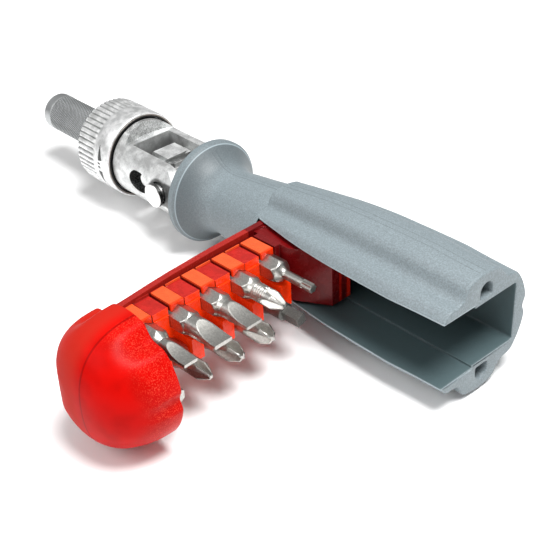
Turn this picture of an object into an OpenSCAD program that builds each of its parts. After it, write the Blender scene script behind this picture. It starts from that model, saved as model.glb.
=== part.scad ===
// Ratcheting screwdriver with a swivel head and a swing-out bit magazine.
// Drawn in butt stations: X = 0 at the handle's butt face, +X toward the tip,
// +Y toward the side where the magazine opens, +Z up. Every node is then shifted
// so that the origin lies at the mouth of the hex socket.

/* [Handle] */
// Length of the barrel from the butt face to its front shoulder
barrel_len = 74.4; // [70:0.2:80]
// Radius over the grip lobes at the butt face
butt_r = 18.6; // [18:0.1:20]
// Depth of the two grip flutes next to the opening
front_flute_depth = 2.6; // [1.5:0.1:3]
// Depth of the two grip flutes at the rear sides
rear_flute_depth = 2.0; // [1:0.1:3]
// Depth of the flute along the back
back_flute_depth = 1.1; // [0.5:0.1:2]
// Length of the neck ahead of the barrel
neck_len = 23.6; // [20:0.2:30]
// Radius of the neck where it leaves the barrel
neck_back_r = 13.4; // [12.5:0.1:14]
// Radius of the neck at its waist
neck_waist_r = 10.7; // [9.5:0.1:12]
// Length of the bell guard from the waist to its front face
guard_len = 12.8; // [11:0.1:16]
// Radius of the bell guard's rim
guard_r = 17.1; // [15.5:0.1:17.5]
// Thickness of the guard's rim
guard_rim_t = 2.0; // [1.2:0.1:3]

/* [Magazine bay] */
// Depth of the bay's back wall behind the axis
bay_depth = 13.6; // [13.2:0.1:14]
// Half height of the bay at its back wall
bay_half_z = 9.15; // [9.1:0.05:9.4]
// Half height of the bay between its lips
bay_lip_half_z = 10.1; // [10:0.05:10.4]
// Thickness of the wall between the bay and the barrel's shoulder
bay_front_wall = 1.8; // [1.6:0.1:2.4]
// Distance of the magazine's pivot behind the bay's front wall
pivot_setback = 8.8; // [8.6:0.1:9]
// Side offset of the magazine's pivot
pivot_y = 8.75; // [8.5:0.05:9]
// Radius of the magazine's trunnions
trunnion_r = 1.95; // [1.5:0.05:2.2]
// Angle by which the magazine stands open
open_angle = 88; // [0:1:90]

/* [Magazine] */
// Distance between neighbouring bits of one row
bit_pitch = 11; // [10.6:0.1:11]
// Number of bits in each row
row_count = 5; // [4:1:5]
// Height of the rows above and below the middle plane
row_z = 4.02; // [3.9:0.02:4.2]
// Station of the first bit of the upper row
upper_first_x = 7.5; // [7:0.1:8]
// Station of the first bit of the lower row
lower_first_x = 2.5; // [2:0.1:3]
// Half height of the bit block
block_half_z = 8.8; // [8.6:0.05:8.9]
// Half height of the spine's rims
rim_half_z = 9.7; // [9.4:0.05:9.8]
// Distance of the block's front faces from the axis plane
block_front_y = 4.7; // [4:0.1:6]
// Width of a spring tab over a bit
tab_w = 4.4; // [3.5:0.1:5]
// Length of the domed end cap
cap_len = 19.5; // [15:0.5:26]
// Wall thickness of the end cap
cap_wall = 2.3; // [1.6:0.1:3]

/* [Bits] */
// Size across the flats of the bits' hexagon
bit_af = 6.35; // [6.3:0.01:6.4]
// Length of a bit
bit_len = 25; // [22:0.5:25]
// Length of a bit's hexagonal shank
bit_hex_len = 13; // [10:0.5:15]

/* [Swivel] */
// Distance of the swivel pin ahead of the guard's face
swivel_gap = 10.2; // [10:0.1:12]
// Radius of the swivel pin
swivel_pin_r = 2.5; // [2:0.1:2.7]
// Radius of the swivel pin's button head
pin_head_r = 4.1; // [3.5:0.1:5]
// Radius of the castle wheel on the stem
castle_r = 7.0; // [6.8:0.1:7.2]
// Half width of the castle wheel
castle_half_w = 4.4; // [4:0.1:5]
// Depth of the castle's notches
notch_depth = 1.9; // [1.7:0.1:2.0]
// Width of the castle's notches
notch_w = 3.0; // [2.6:0.1:3.2]
// Travel of the lock slider back into a notch
lock_travel = 1.6; // [1:0.1:1.7]
// Half width of the yoke's slot
yoke_slot_half_w = 7.5; // [7:0.1:8]
// Half width between the spot faces of the yoke's ears
yoke_half_w = 11.5; // [11:0.1:12]

/* [Ratchet] */
// Radius of the ratchet housing
housing_r = 13.2; // [12.8:0.1:13.4]
// Outer radius of the selector ring
ring_r = 15.1; // [14.8:0.1:15.6]
// Distance from the swivel pin to the ring's rear edge
ring_reach = 25.0; // [24.6:0.1:27]
// Length of the selector ring
ring_len = 18.3; // [17.6:0.1:19]
// Length of the ring's fluted grip
ring_grip_len = 7.1; // [5:0.1:9]
// Number of flutes on the ring
ring_flutes = 40; // [30:2:48]
// Number of ratchet teeth
gear_teeth = 24; // [18:6:36]
// Radius over the ratchet teeth
gear_tip_r = 6.6; // [6.4:0.1:6.8]

/* [Bit holder] */
// Radius of the bit holder
holder_r = 6.7; // [6.2:0.1:7]
// Length of the bit holder ahead of the ring
holder_len = 33.9; // [28:0.1:40]
// Depth of the hex socket
socket_depth = 12; // [10:0.5:14]

/* [Hidden] */

$fn = 64;
grip_steps = 72;
hex_sides = 6;
// one overrun for every cut
cut = 1;
// clearances
running_gap = 0.05;
slide_gap = 0.1;
part_gap = 0.3;

// stations along the axis
waist_x = barrel_len + neck_len;
guard_x = waist_x + guard_len;
swivel_x = guard_x + swivel_gap;
ring_x = swivel_x + ring_reach;
ring_end_x = ring_x + ring_len;
holder_x = ring_end_x + part_gap;
tip_x = holder_x + holder_len;

// barrel form
barrel_station_shares = [0, 0.055, 0.15, 0.25, 0.345, 0.44, 0.54, 0.645, 0.745, 0.855, 0.96, 0.985, 1];
barrel_swell_shares = [1, 1.006, 1.022, 1.044, 1.041, 1.035, 1.028, 1.006, 0.974, 0.92, 0.865, 0.845, 0.81];
flute_half_angle = 17;
back_flute_half_angle = 10;
front_flute_at = 57;
rear_flute_at = 123;
back_flute_at = 180;
// the barrel's front end slopes in to a ring inside the neck
shoulder_r = 12;
shoulder_slope = 0.3;

// neck form
neck_station_shares = [0, 0.25, 0.5, 0.75, 1];
neck_radius_shares = [0, 0.19, 0.48, 0.74, 1];
guard_station_shares = [0, 0.28, 0.42, 0.54, 0.64, 0.73, 0.80];
guard_radius_shares = [0, 0.10, 0.22, 0.40, 0.58, 0.78, 0.95];
neck_root = 3;

// bay form
bay_len = barrel_len - bay_front_wall;
pivot_x = bay_len - pivot_setback;
bay_step_y = 3.3;
bay_step_half_z = 9.8;
bay_mouth_y = 26;
pivot_relief_gap = 0.45;
magazine_end_gap = 0.55;
pivot_end_r = bay_len - pivot_x - magazine_end_gap;
trunnion_len = 1.3;
trunnion_bore_gap = 0.1;
core_w = 4.9;
core_h = 4.5;
core_z = 10.9;
core_y = -0.9;
core_len_share = 0.753;
core_len = core_len_share * barrel_len;

// magazine form
spine_station_shares = [0, 0.08, 0.17, 0.28, 0.40, 0.51, 0.64, 1];
spine_drop_shares = [1, 0.92, 0.73, 0.46, 0.23, 0.11, 0.02, 0];
spine_drop = 2.6;
spine_y = pivot_y + pivot_end_r;
spine_t = 2.0;
spine_root_y = 12.3;
spine_start_x = -2.4;
block_setback = 7.6;
block_end_x = pivot_x - block_setback;
block_wall = 1.4;
land_front_y = 5.2;
land_drop = 0.7;
tab_root_y = 13.8;
slit_w = 0.7;
slit_z = 6.0;
rib_half_w = 1.95;
rib_front_y = -1.7;
rib_top_z = 0.1;
rib_bottom_z = -7.4;
pocket_gap = 0.1;
seat_gap = 0.2;
heel_front_y = 1.5;
heel_tip_y = -9.8;
heel_back = 1.5;
heel_reach = 6;
heel_tip_x = pivot_x - heel_back;
heel_face_x = pivot_x + heel_reach;
heel_chamfer = 2.3;
pad_half_z = 9.3;
pad_back = 2.9;
pad_inner_x = pivot_x - pad_back;
pad_inner_y = 6.4;
pad_corner = 2.4;
cap_gap = 0.3;
cap_side_y = 15.2;
cap_crown = 0.6;
cap_side_half_angle = 45;
cap_power = 2.6;
cap_rings = 9;
cap_last_share = 0.97;
cap_ring_overlap = 0.6;

// bit forms
bit_chamfer = 0.6;
bit_neck_r = 2.6;
bit_shoulder_len = 1.2;
// width and thickness of the blades' ends
narrow_blade = [4.5, 0.8];
medium_blade = [5.5, 0.9];
wide_blade = [6.2, 1.1];
blade_end_share = 0.75;
// diameter of the crosses, with the shares of their points and wings
small_cross = [4, 0.3, 0.16];
medium_cross = [4.8, 0.3, 0.17];
large_cross = [6, 0.4, 0.18];
ringed_cross = [4.6, 0.45, 0.18];
cross_slope = 6;
ring_d = 5.6;
ring_count = 3;
star_d = 4;
star_lobes = 6;
star_core_share = 0.74;
lobe_at_share = 0.38;
lobe_share = 0.24;
key_d = 4.6;
square_d = 4.2;
square_sides = 4;

// swivel form
shank_r = 5.5;
shank_len = 30;
collar_r = 8.0;
collar_len = 1.2;
tongue_half_h = 3.0;
tongue_root_len = 1.0;
castle_hub_r = 4.3;
castle_angles = [-90, -45, 0, 45, 90];
ear_half_h = 8.5;
slot_reach = 19.5;
relief_r = 22.9;
pin_head_t = 1.5;
pin_stand = 2.4;
pin_tail = 1.6;
pin_groove_d = 0.5;
clip_t = 0.7;
clip_r = 3.6;
washer_r = 3.3;
slider_front = 13.4;
slider_wide_front = 11.2;
slider_wide_half_h = 5.0;
slider_half_h = 7.4;
slider_chamfer = 0.8;
lug_at = 10.2;
lug_r = 2.05;
lug_recess = 0.6;
window_half_h = 3.8;
window_front = 15.5;
slider_rear_r = castle_r + lock_travel + part_gap - running_gap;
slider_tooth_r = castle_r + slide_gap + running_gap;
tooth_side_gap = 0.1;

// ratchet form
ring_bore_gap = 0.34;
ring_wall_front = 1.4;
ring_flute_depth = 0.7;
flute_station_shares = [0, 0.1, 0.22, 0.62, 0.76, 0.88];
flute_depth_shares = [1, 0.35, 0, 0, 0.35, 1];
detent_angles = [-20, 0, 20];
ring_chamfer = 0.7;
shoulder_len = 4.0;
hub_step = 1.7;
hub_r = housing_r - hub_step;
hub_recess = 0.1;
groove_depth = 0.6;
retainer_t = 0.7;
retainer_rise = 1.2;
retainer_r = hub_r + retainer_rise;
retainer_set = 0.6;
retainer_slot_w = 4;
journal_r = 3.5;
journal_len = 4.4;
gear_len = 7.4;
gear_root_r = 5.9;
gear_gap = 0.4;
chamber_r = 7.0;
bush_r = 9.0;
bush_len = 4.4;
spindle_neck_r = 6.0;
pawl_half_w = 2.0;
pawl_len = 5.8;
pawl_top_r = 8.7;
pawl_nose_r = 6.05;
pawl_lift = 0.9;
pocket_r = 10.6;
pawl_spring_r = 1.4;
pawl_spring_bore = 0.9;
ball_r = 1.2;
detent_len = 4.6;
dimple_depth = 0.35;
detent_spring_bore = 0.6;

// bit holder form
mouth_chamfer = 0.8;
holder_front_chamfer = 0.5;
magnet_r = 2.4;
magnet_len = 3.0;
snap_at = 2.6;
snap_t = 0.6;
snap_r = 4.3;
snap_slot_w = 2.4;

hex_r = bit_af / sqrt(3);
gear_x = holder_x - hub_recess - bush_len - gear_gap - gear_len;
hub_end_x = ring_end_x - hub_recess;

function mix(a, b, t) = a + (b - a) * t;
function turn_gap(t, c) = abs((t - c + 540) % 360 - 180);
function dent(t, c, half) = turn_gap(t, c) < half ? pow(cos(90 * turn_gap(t, c) / half), 2) : 0;
function grip_r(t) =
  butt_r
  - front_flute_depth * (dent(t, front_flute_at, flute_half_angle) + dent(t, -front_flute_at, flute_half_angle))
  - rear_flute_depth * (dent(t, rear_flute_at, flute_half_angle) + dent(t, -rear_flute_at, flute_half_angle))
  - back_flute_depth * dent(t, back_flute_at, back_flute_half_angle);
// the cap is nearly flat on the side of the spine, with a slight crown
function cap_side_r(t) = (cap_side_y - cap_crown * pow(tan(t), 2)) / cos(t);
function cap_r(t) = turn_gap(t, 0) < cap_side_half_angle ? min(grip_r(t), cap_side_r(t)) : grip_r(t);
function ring_points(x, radii) = [
  for (i = [0 : len(radii) - 1])
    let (t = 360 * i / len(radii)) [x, radii[i] * cos(t), radii[i] * sin(t)]
];

// solid through rings of equal count, each ring around the X axis, with flat fans for ends
module loft(rings) {
  n = len(rings[0]);
  m = len(rings);
  centres = [[rings[0][0][0], 0, 0], [rings[m - 1][0][0], 0, 0]];
  points = concat([for (ring = rings) each ring], centres);
  sides = [
    for (k = [0 : m - 2], i = [0 : n - 1])
      let (j = (i + 1) % n) each [
        [k * n + i, (k + 1) * n + i, (k + 1) * n + j],
        [k * n + i, (k + 1) * n + j, k * n + j]
      ]
  ];
  back = [for (i = [0 : n - 1]) [i, (i + 1) % n, m * n]];
  front = [for (i = [0 : n - 1]) [(m - 1) * n + (i + 1) % n, (m - 1) * n + i, m * n + 1]];
  polyhedron(points = points, faces = concat(back, sides, front));
}

module part_frame() {
  translate([-tip_x, 0, 0]) children();
}

module along_x(x = 0) {
  translate([x, 0, 0]) rotate([0, 90, 0]) children();
}

// outline in the YZ plane, extruded from station x0 to x1
module section_x(x0, x1) {
  translate([x0, 0, 0]) rotate([90, 0, 90]) linear_extrude(x1 - x0) children();
}

// cylinder across the tool, centred on the XZ plane
module across_y(r, half_len) {
  rotate([90, 0, 0]) cylinder(r = r, h = 2 * half_len, center = true);
}

module centred_box(x0, x1, half_y, half_z) {
  translate([x0, -half_y, -half_z]) cube([x1 - x0, 2 * half_y, 2 * half_z]);
}

module barrel() {
  radii = [for (i = [0 : grip_steps - 1]) grip_r(360 * i / grip_steps)];
  shoulder = [for (r = radii) shoulder_r];
  loft(concat(
    [
      for (k = [0 : len(barrel_station_shares) - 1])
        ring_points(barrel_len * barrel_station_shares[k], barrel_swell_shares[k] * radii)
    ],
    [ring_points(barrel_len + shoulder_slope, shoulder)]
  ));
}

module neck() {
  last = len(neck_station_shares) - 1;
  profile = concat(
    [[0, barrel_len - neck_root], [neck_back_r, barrel_len - neck_root]],
    [[neck_back_r, barrel_len + 2 * shoulder_slope]],
    [for (k = [1 : last]) [
      mix(neck_back_r, neck_waist_r, neck_radius_shares[k]),
      barrel_len + neck_len * neck_station_shares[k]
    ]],
    [for (k = [1 : len(guard_station_shares) - 1]) [
      mix(neck_waist_r, guard_r, guard_radius_shares[k]),
      waist_x + guard_len * guard_station_shares[k]
    ]],
    [[guard_r, guard_x - guard_rim_t], [guard_r, guard_x], [0, guard_x]]
  );
  along_x() rotate_extrude(angle = 360) polygon(profile);
}

module bay() {
  section_x(-cut, bay_len) polygon([
    [-bay_depth, -bay_half_z], [bay_step_y, -bay_half_z],
    [bay_step_y, -bay_step_half_z], [bay_mouth_y, -bay_lip_half_z],
    [bay_mouth_y, bay_lip_half_z], [bay_step_y, bay_step_half_z],
    [bay_step_y, bay_half_z], [-bay_depth, bay_half_z]
  ]);
  translate([pivot_x, pivot_y, 0])
    cylinder(r = pivot_end_r + pivot_relief_gap, h = 2 * bay_step_half_z, center = true);
}

// D-shaped core hole in the butt face of a grip lobe
module core_hole() {
  section_x(-cut, core_len) {
    translate([core_y, core_z + core_h - core_w / 2]) circle(d = core_w);
    translate([core_y - core_w / 2, core_z]) square([core_w, core_h - core_w / 2]);
  }
}

module handle() {
  color([0.36, 0.42, 0.45]) part_frame() difference() {
    union() {
      barrel();
      neck();
    }
    bay();
    core_hole();
    mirror([0, 0, 1]) core_hole();
    translate([pivot_x, pivot_y, 0])
      cylinder(
        r = trunnion_r + running_gap,
        h = 2 * (bay_step_half_z + trunnion_len + trunnion_bore_gap),
        center = true
      );
    along_x(guard_x - shank_len) cylinder(r = shank_r, h = shank_len + cut);
  }
}

// the magazine is drawn closed and swung open about its pivot

module swung_open() {
  translate([pivot_x, pivot_y, 0]) rotate([0, 0, -open_angle])
    translate([-pivot_x, -pivot_y, 0]) children();
}

function spine_outer(k) = [
  pivot_x * spine_station_shares[k],
  spine_y - spine_drop * spine_drop_shares[k]
];
function pivot_arc(a0, a1, steps) = [
  for (i = [0 : steps])
    let (a = mix(a0, a1, i / steps))
      [pivot_x + pivot_end_r * cos(a), pivot_y + pivot_end_r * sin(a)]
];

module slab(half_z) {
  linear_extrude(2 * half_z, center = true) children();
}

module spine() {
  last = len(spine_station_shares) - 1;
  arc_steps = 12;
  outer = [for (k = [0 : last]) spine_outer(k)];
  inner = [for (k = [last : -1 : 0]) spine_outer(k) - [0, spine_t]];
  slab(rim_half_z) polygon(concat([[spine_start_x, outer[0][1]]], outer, inner, [[spine_start_x, inner[last][1]]]));
  // pivot end with its rounded heel
  slab(block_half_z) polygon(concat(
    pivot_arc(0, 90, arc_steps),
    [
      [block_end_x, spine_y - spine_t / 2], [block_end_x, heel_front_y],
      [heel_tip_x, heel_tip_y], [heel_face_x, heel_tip_y],
      [pivot_x + pivot_end_r, heel_tip_y + heel_chamfer]
    ]
  ));
  // raised pads that carry the trunnions
  slab(pad_half_z) polygon(concat(
    pivot_arc(0, 90, arc_steps),
    [
      [block_end_x, spine_y - spine_t], [pad_inner_x - pad_corner, spine_y - spine_t - part_gap],
      [pad_inner_x, spine_root_y], [pad_inner_x, pad_inner_y],
      [pivot_x + pivot_end_r, pad_inner_y]
    ]
  ));
}

module trunnions() {
  translate([pivot_x, pivot_y, 0])
    cylinder(r = trunnion_r, h = 2 * (bay_step_half_z + trunnion_len), center = true);
}

function upper_x(i) = upper_first_x + bit_pitch * i;
function lower_x(i) = lower_first_x + bit_pitch * i;

// hexagon of a bit along Y, corners up and down, from y0 to y1
module hex_along_y(y0, y1, af) {
  translate([0, y1, 0]) rotate([90, 0, 0]) rotate(30)
    cylinder(r = af / sqrt(3), h = y1 - y0, $fn = hex_sides);
}

module pocket_cut(x, z) {
  translate([x, 0, z])
    hex_along_y(block_front_y - cut, spine_root_y, bit_af + 2 * pocket_gap);
}

// slits that free the spring tab over a bit, and the lower land ahead of the next tab
module tab_cuts(x) {
  land_x = x + (tab_w + slit_w) / 2;
  land_len = bit_pitch - tab_w - slit_w;
  for (side = [-1, 1])
    translate([x + side * (tab_w + slit_w) / 2 - slit_w / 2, block_front_y - cut, slit_z])
      cube([slit_w, tab_root_y - block_front_y + cut, block_half_z]);
  if (land_x + land_len < block_end_x) {
    translate([land_x, block_front_y - cut, block_half_z - land_drop])
      cube([land_len, tab_root_y - block_front_y + cut - slit_w, block_half_z]);
    translate([land_x, block_front_y - cut, slit_z])
      cube([land_len, land_front_y - block_front_y + cut, block_half_z]);
  }
}

module block() {
  difference() {
    translate([lower_first_x - bit_af / 2 - block_wall, block_front_y, -block_half_z])
      cube([
        block_end_x - lower_first_x + bit_af / 2 + block_wall,
        spine_y - spine_drop - spine_t / 2 - block_front_y,
        2 * block_half_z
      ]);
    for (i = [0 : row_count - 1]) {
      pocket_cut(upper_x(i), row_z);
      pocket_cut(lower_x(i), -row_z);
      tab_cuts(upper_x(i));
      mirror([0, 0, 1]) tab_cuts(lower_x(i));
    }
  }
  // ribs between the lower bits
  for (i = [0 : row_count - 1])
    translate([lower_x(i) + bit_pitch / 2 - rib_half_w, rib_front_y, rib_bottom_z])
      cube([2 * rib_half_w, block_front_y - rib_front_y, rib_top_z - rib_bottom_z]);
}

module cap() {
  outer = [for (i = [0 : grip_steps - 1]) cap_r(360 * i / grip_steps)];
  inner = [for (r = outer) r - cap_wall];
  inner_len = cap_len - cap_wall;
  function shrink(u) = pow(1 - pow(u, cap_power), 1 / cap_power);
  us = [for (k = [cap_rings : -1 : 0]) sin(90 * cap_last_share * k / cap_rings)];
  // one closed shell: forward along the outside, over the rim, and back along the inside
  loft(concat(
    [for (u = us) ring_points(-cap_gap - cap_len * u, shrink(u) * outer)],
    [for (k = [cap_rings : -1 : 0]) ring_points(-cap_gap - inner_len * us[k], shrink(us[k]) * inner)]
  ));
}

module bit_magazine() {
  color([0.85, 0.12, 0.06]) part_frame() swung_open() {
    spine();
    trunnions();
    block();
    cap();
  }
}

// bits are drawn along +Z with the shank's end at zero

module bit_body(neck_r, neck_len) {
  intersection() {
    cylinder(r = hex_r, h = bit_hex_len, $fn = hex_sides);
    union() {
      cylinder(r1 = hex_r - bit_chamfer, r2 = hex_r, h = bit_chamfer);
      translate([0, 0, bit_chamfer]) cylinder(r = hex_r, h = bit_hex_len - 2 * bit_chamfer);
      translate([0, 0, bit_hex_len - bit_chamfer])
        cylinder(r1 = hex_r, r2 = hex_r - bit_chamfer, h = bit_chamfer);
    }
  }
  translate([0, 0, bit_hex_len])
    cylinder(r1 = hex_r - bit_chamfer, r2 = neck_r, h = bit_shoulder_len);
  translate([0, 0, bit_hex_len - bit_chamfer]) cylinder(r = neck_r, h = neck_len + bit_chamfer);
}

module bit_blade(size) {
  w = size[0];
  t = size[1];
  shaft = (bit_len - bit_hex_len) / 3;
  blade = bit_len - bit_hex_len - shaft;
  bit_body(w / 2, shaft);
  translate([0, 0, bit_hex_len + shaft]) intersection() {
    cylinder(d = w, h = blade);
    rotate([90, 0, 0]) linear_extrude(w + cut, center = true)
      polygon([
        [-w / 2, 0], [w / 2, 0], [t / 2, blade * blade_end_share],
        [t / 2, blade], [-t / 2, blade], [-t / 2, blade * blade_end_share]
      ]);
  }
}

module bit_cross(size) {
  d = size[0];
  point_share = size[1];
  wing_share = size[2];
  shaft = (bit_len - bit_hex_len) / 2;
  point = bit_len - bit_hex_len - shaft;
  bit_body(d / 2, shaft);
  translate([0, 0, bit_hex_len + shaft]) difference() {
    cylinder(r1 = d / 2, r2 = d * point_share / 2, h = point);
    for (a = [45 : 90 : 315])
      rotate(a) translate([d * wing_share, 0, point / 6])
        rotate([0, -cross_slope, 0]) rotate(45) translate([0, -d, 0]) cube([d, d, 2 * point]);
  }
}

module bit_star(d, lobes) {
  shaft = bit_len - bit_hex_len - d;
  bit_body(d / 2 + bit_chamfer / 2, shaft);
  translate([0, 0, bit_hex_len + shaft]) linear_extrude(d) {
    circle(d = d * star_core_share);
    for (i = [0 : lobes - 1])
      rotate(360 * i / lobes) translate([d * lobe_at_share, 0]) circle(d = d * lobe_share);
  }
}

module bit_prism(d, sides) {
  shaft = (bit_len - bit_hex_len) / 2;
  bit_body(bit_neck_r, shaft);
  translate([0, 0, bit_hex_len + shaft]) cylinder(d = d, h = bit_len - bit_hex_len - shaft, $fn = sides);
}

module bit_rings(d, count) {
  step = (bit_len - bit_hex_len) / 2 / count;
  for (i = [0 : count - 1])
    translate([0, 0, bit_hex_len + step * (i + 1 / 4)]) cylinder(d = d, h = step / 2);
}

// places a bit in its pocket: upper row for side 1, lower row for side -1
module seated_bit(x, side) {
  color([0.62, 0.63, 0.64]) part_frame() swung_open()
    translate([x, spine_root_y - seat_gap, side * row_z]) rotate([90, 0, 0]) rotate(30) children();
}

module bit_slotted_narrow() seated_bit(upper_x(0), 1) bit_blade(narrow_blade);
module bit_slotted_wide() seated_bit(upper_x(1), 1) bit_blade(wide_blade);
module bit_slotted_medium() seated_bit(upper_x(2), 1) bit_blade(medium_blade);
module bit_pozi_ringed() seated_bit(upper_x(3), 1) {
  bit_cross(ringed_cross);
  bit_rings(ring_d, ring_count);
}
module bit_torx() seated_bit(upper_x(4), 1) bit_star(star_d, star_lobes);
module bit_hex_key() seated_bit(lower_x(0), -1) bit_prism(key_d, hex_sides);
module bit_phillips_small() seated_bit(lower_x(1), -1) bit_cross(small_cross);
module bit_phillips_medium() seated_bit(lower_x(2), -1) bit_cross(medium_cross);
module bit_phillips_large() seated_bit(lower_x(3), -1) bit_cross(large_cross);
module bit_square() seated_bit(lower_x(4), -1) bit_prism(square_d, square_sides);

module at_swivel() {
  translate([swivel_x, 0, 0]) children();
}

module swivel_stem() {
  color([0.70, 0.70, 0.70]) part_frame() difference() {
    union() {
      along_x(guard_x - shank_len) cylinder(r = shank_r, h = shank_len + collar_len + tongue_root_len);
      along_x(guard_x) cylinder(r = collar_r, h = collar_len);
      centred_box(guard_x + collar_len, swivel_x, castle_half_w, tongue_half_h);
      at_swivel() across_y(castle_r, castle_half_w);
      at_swivel() across_y(castle_hub_r, yoke_slot_half_w - slide_gap);
    }
    at_swivel() across_y(swivel_pin_r + running_gap, yoke_slot_half_w + cut);
    at_swivel() for (a = castle_angles)
      rotate([0, -a, 0]) translate([castle_r - notch_depth, -castle_half_w - cut, -notch_w / 2])
        cube([notch_depth + cut, 2 * (castle_half_w + cut), notch_w]);
  }
}

module swivel_pin() {
  head_y = yoke_half_w + pin_stand;
  tail_y = -yoke_half_w - pin_tail;
  color([0.80, 0.80, 0.79]) part_frame() at_swivel() difference() {
    union() {
      translate([0, head_y, 0]) rotate([90, 0, 0]) cylinder(r = swivel_pin_r, h = head_y - tail_y);
      translate([0, head_y + pin_head_t, 0]) rotate([90, 0, 0]) cylinder(r = pin_head_r, h = pin_head_t);
    }
    translate([0, -yoke_half_w, 0]) rotate([90, 0, 0]) difference() {
      cylinder(r = swivel_pin_r + cut, h = clip_t);
      cylinder(r = swivel_pin_r - pin_groove_d, h = clip_t);
    }
  }
}

module swivel_pin_washer() {
  color([0.55, 0.55, 0.54]) part_frame() at_swivel()
    translate([0, yoke_half_w + pin_stand, 0]) rotate([90, 0, 0]) difference() {
      cylinder(r = washer_r, h = pin_stand);
      translate([0, 0, -cut]) cylinder(r = swivel_pin_r, h = pin_stand + 2 * cut);
    }
}

module swivel_pin_clip() {
  inner_r = swivel_pin_r - pin_groove_d;
  color([0.30, 0.30, 0.31]) part_frame() at_swivel()
    translate([0, -yoke_half_w, 0]) rotate([90, 0, 0]) difference() {
      cylinder(r = clip_r, h = clip_t);
      translate([0, 0, -cut]) cylinder(r = inner_r, h = clip_t + 2 * cut);
      translate([0, -inner_r, -cut]) cube([clip_r + cut, 2 * inner_r, clip_t + 2 * cut]);
    }
}

module lock_slider() {
  color([0.78, 0.78, 0.77]) part_frame() at_swivel() {
    difference() {
      union() {
        rotate([90, 0, 0]) linear_extrude(2 * castle_half_w, center = true) polygon([
          [0, -slider_half_h], [slider_front - slider_chamfer, -slider_half_h],
          [slider_front, -slider_half_h + slider_chamfer], [slider_front, slider_half_h - slider_chamfer],
          [slider_front - slider_chamfer, slider_half_h], [0, slider_half_h]
        ]);
        centred_box(0, slider_wide_front, yoke_slot_half_w - slide_gap, slider_wide_half_h);
      }
      across_y(slider_rear_r, yoke_half_w);
    }
    centred_box(slider_tooth_r, slider_wide_front, castle_half_w, notch_w / 2 - tooth_side_gap);
    translate([lug_at, 0, 0]) across_y(lug_r, yoke_half_w - lug_recess);
  }
}

module yoke_solid() {
  intersection() {
    along_x(swivel_x - ear_half_h - cut)
      cylinder(r = housing_r, h = ring_x + shoulder_len - swivel_x + ear_half_h + cut);
    union() {
      at_swivel() across_y(ear_half_h, housing_r + cut);
      centred_box(swivel_x, ring_x + shoulder_len, housing_r + cut, housing_r + cut);
    }
  }
}

module ratchet_housing() {
  shoulder_x = ring_x + shoulder_len;
  chamber_x = gear_x - gear_gap;
  bush_x = hub_end_x - bush_len;
  color([0.74, 0.74, 0.73]) part_frame() difference() {
    union() {
      yoke_solid();
      along_x(shoulder_x - cut) cylinder(r = hub_r, h = hub_end_x - shoulder_x + cut);
    }
    // slot for the castle and the lock slider
    centred_box(swivel_x - ear_half_h - cut, swivel_x + slot_reach, yoke_slot_half_w, housing_r + cut);
    // half-moon reliefs that clear the guard when the head is folded
    for (side = [-1, 1])
      translate([swivel_x, 0, side * (ear_half_h + housing_r)])
        cylinder(r = relief_r, h = 2 * housing_r, center = true);
    at_swivel() across_y(swivel_pin_r + running_gap, housing_r + cut);
    // spot faces under the pin's washer and clip
    for (side = [0, 1])
      at_swivel() mirror([0, side, 0]) translate([0, housing_r + cut, 0]) rotate([90, 0, 0])
        cylinder(r = clip_r + part_gap, h = housing_r + cut - yoke_half_w);
    at_swivel() window_slot();
    // bores for the spindle, its teeth and the front bush
    along_x(gear_x - journal_len - gear_gap) cylinder(r = journal_r + running_gap, h = journal_len + gear_gap + cut);
    along_x(chamber_x) cylinder(r = chamber_r, h = bush_x - chamber_x);
    along_x(bush_x) cylinder(r = bush_r, h = bush_len + cut);
    // pockets of the two pawls
    centred_box(gear_x + gear_len / 2 - pawl_len / 2 - slide_gap, gear_x + gear_len / 2 + pawl_len / 2 + slide_gap,
      pawl_half_w + slide_gap, pocket_r);
    // detent hole, from the back of the hub
    translate([gear_x + gear_len / 2, -hub_r - cut, 0]) rotate([-90, 0, 0])
      cylinder(r = ball_r + running_gap, h = detent_len - ball_r + cut);
    // groove of the ring's retainer
    along_x(ring_end_x - retainer_set - retainer_t) difference() {
      cylinder(r = hub_r + cut, h = retainer_t);
      cylinder(r = hub_r - groove_depth, h = retainer_t);
    }
  }
}

module window_slot() {
  rear = lug_at - lock_travel - lug_r - part_gap + window_half_h;
  front = window_front - window_half_h;
  translate([rear, 0, 0]) across_y(window_half_h, housing_r + cut);
  translate([front, 0, 0]) across_y(window_half_h, housing_r + cut);
  centred_box(rear, front, housing_r + cut, window_half_h);
}

function fluted(r, depth, count) = [
  for (i = [0 : count - 1])
    let (a = 360 / count)
      each [
        for (k = [0 : len(flute_station_shares) - 1])
          let (q = r - depth * flute_depth_shares[k], t = a * (i + flute_station_shares[k]))
            [q * cos(t), q * sin(t)]
      ]
];

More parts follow.
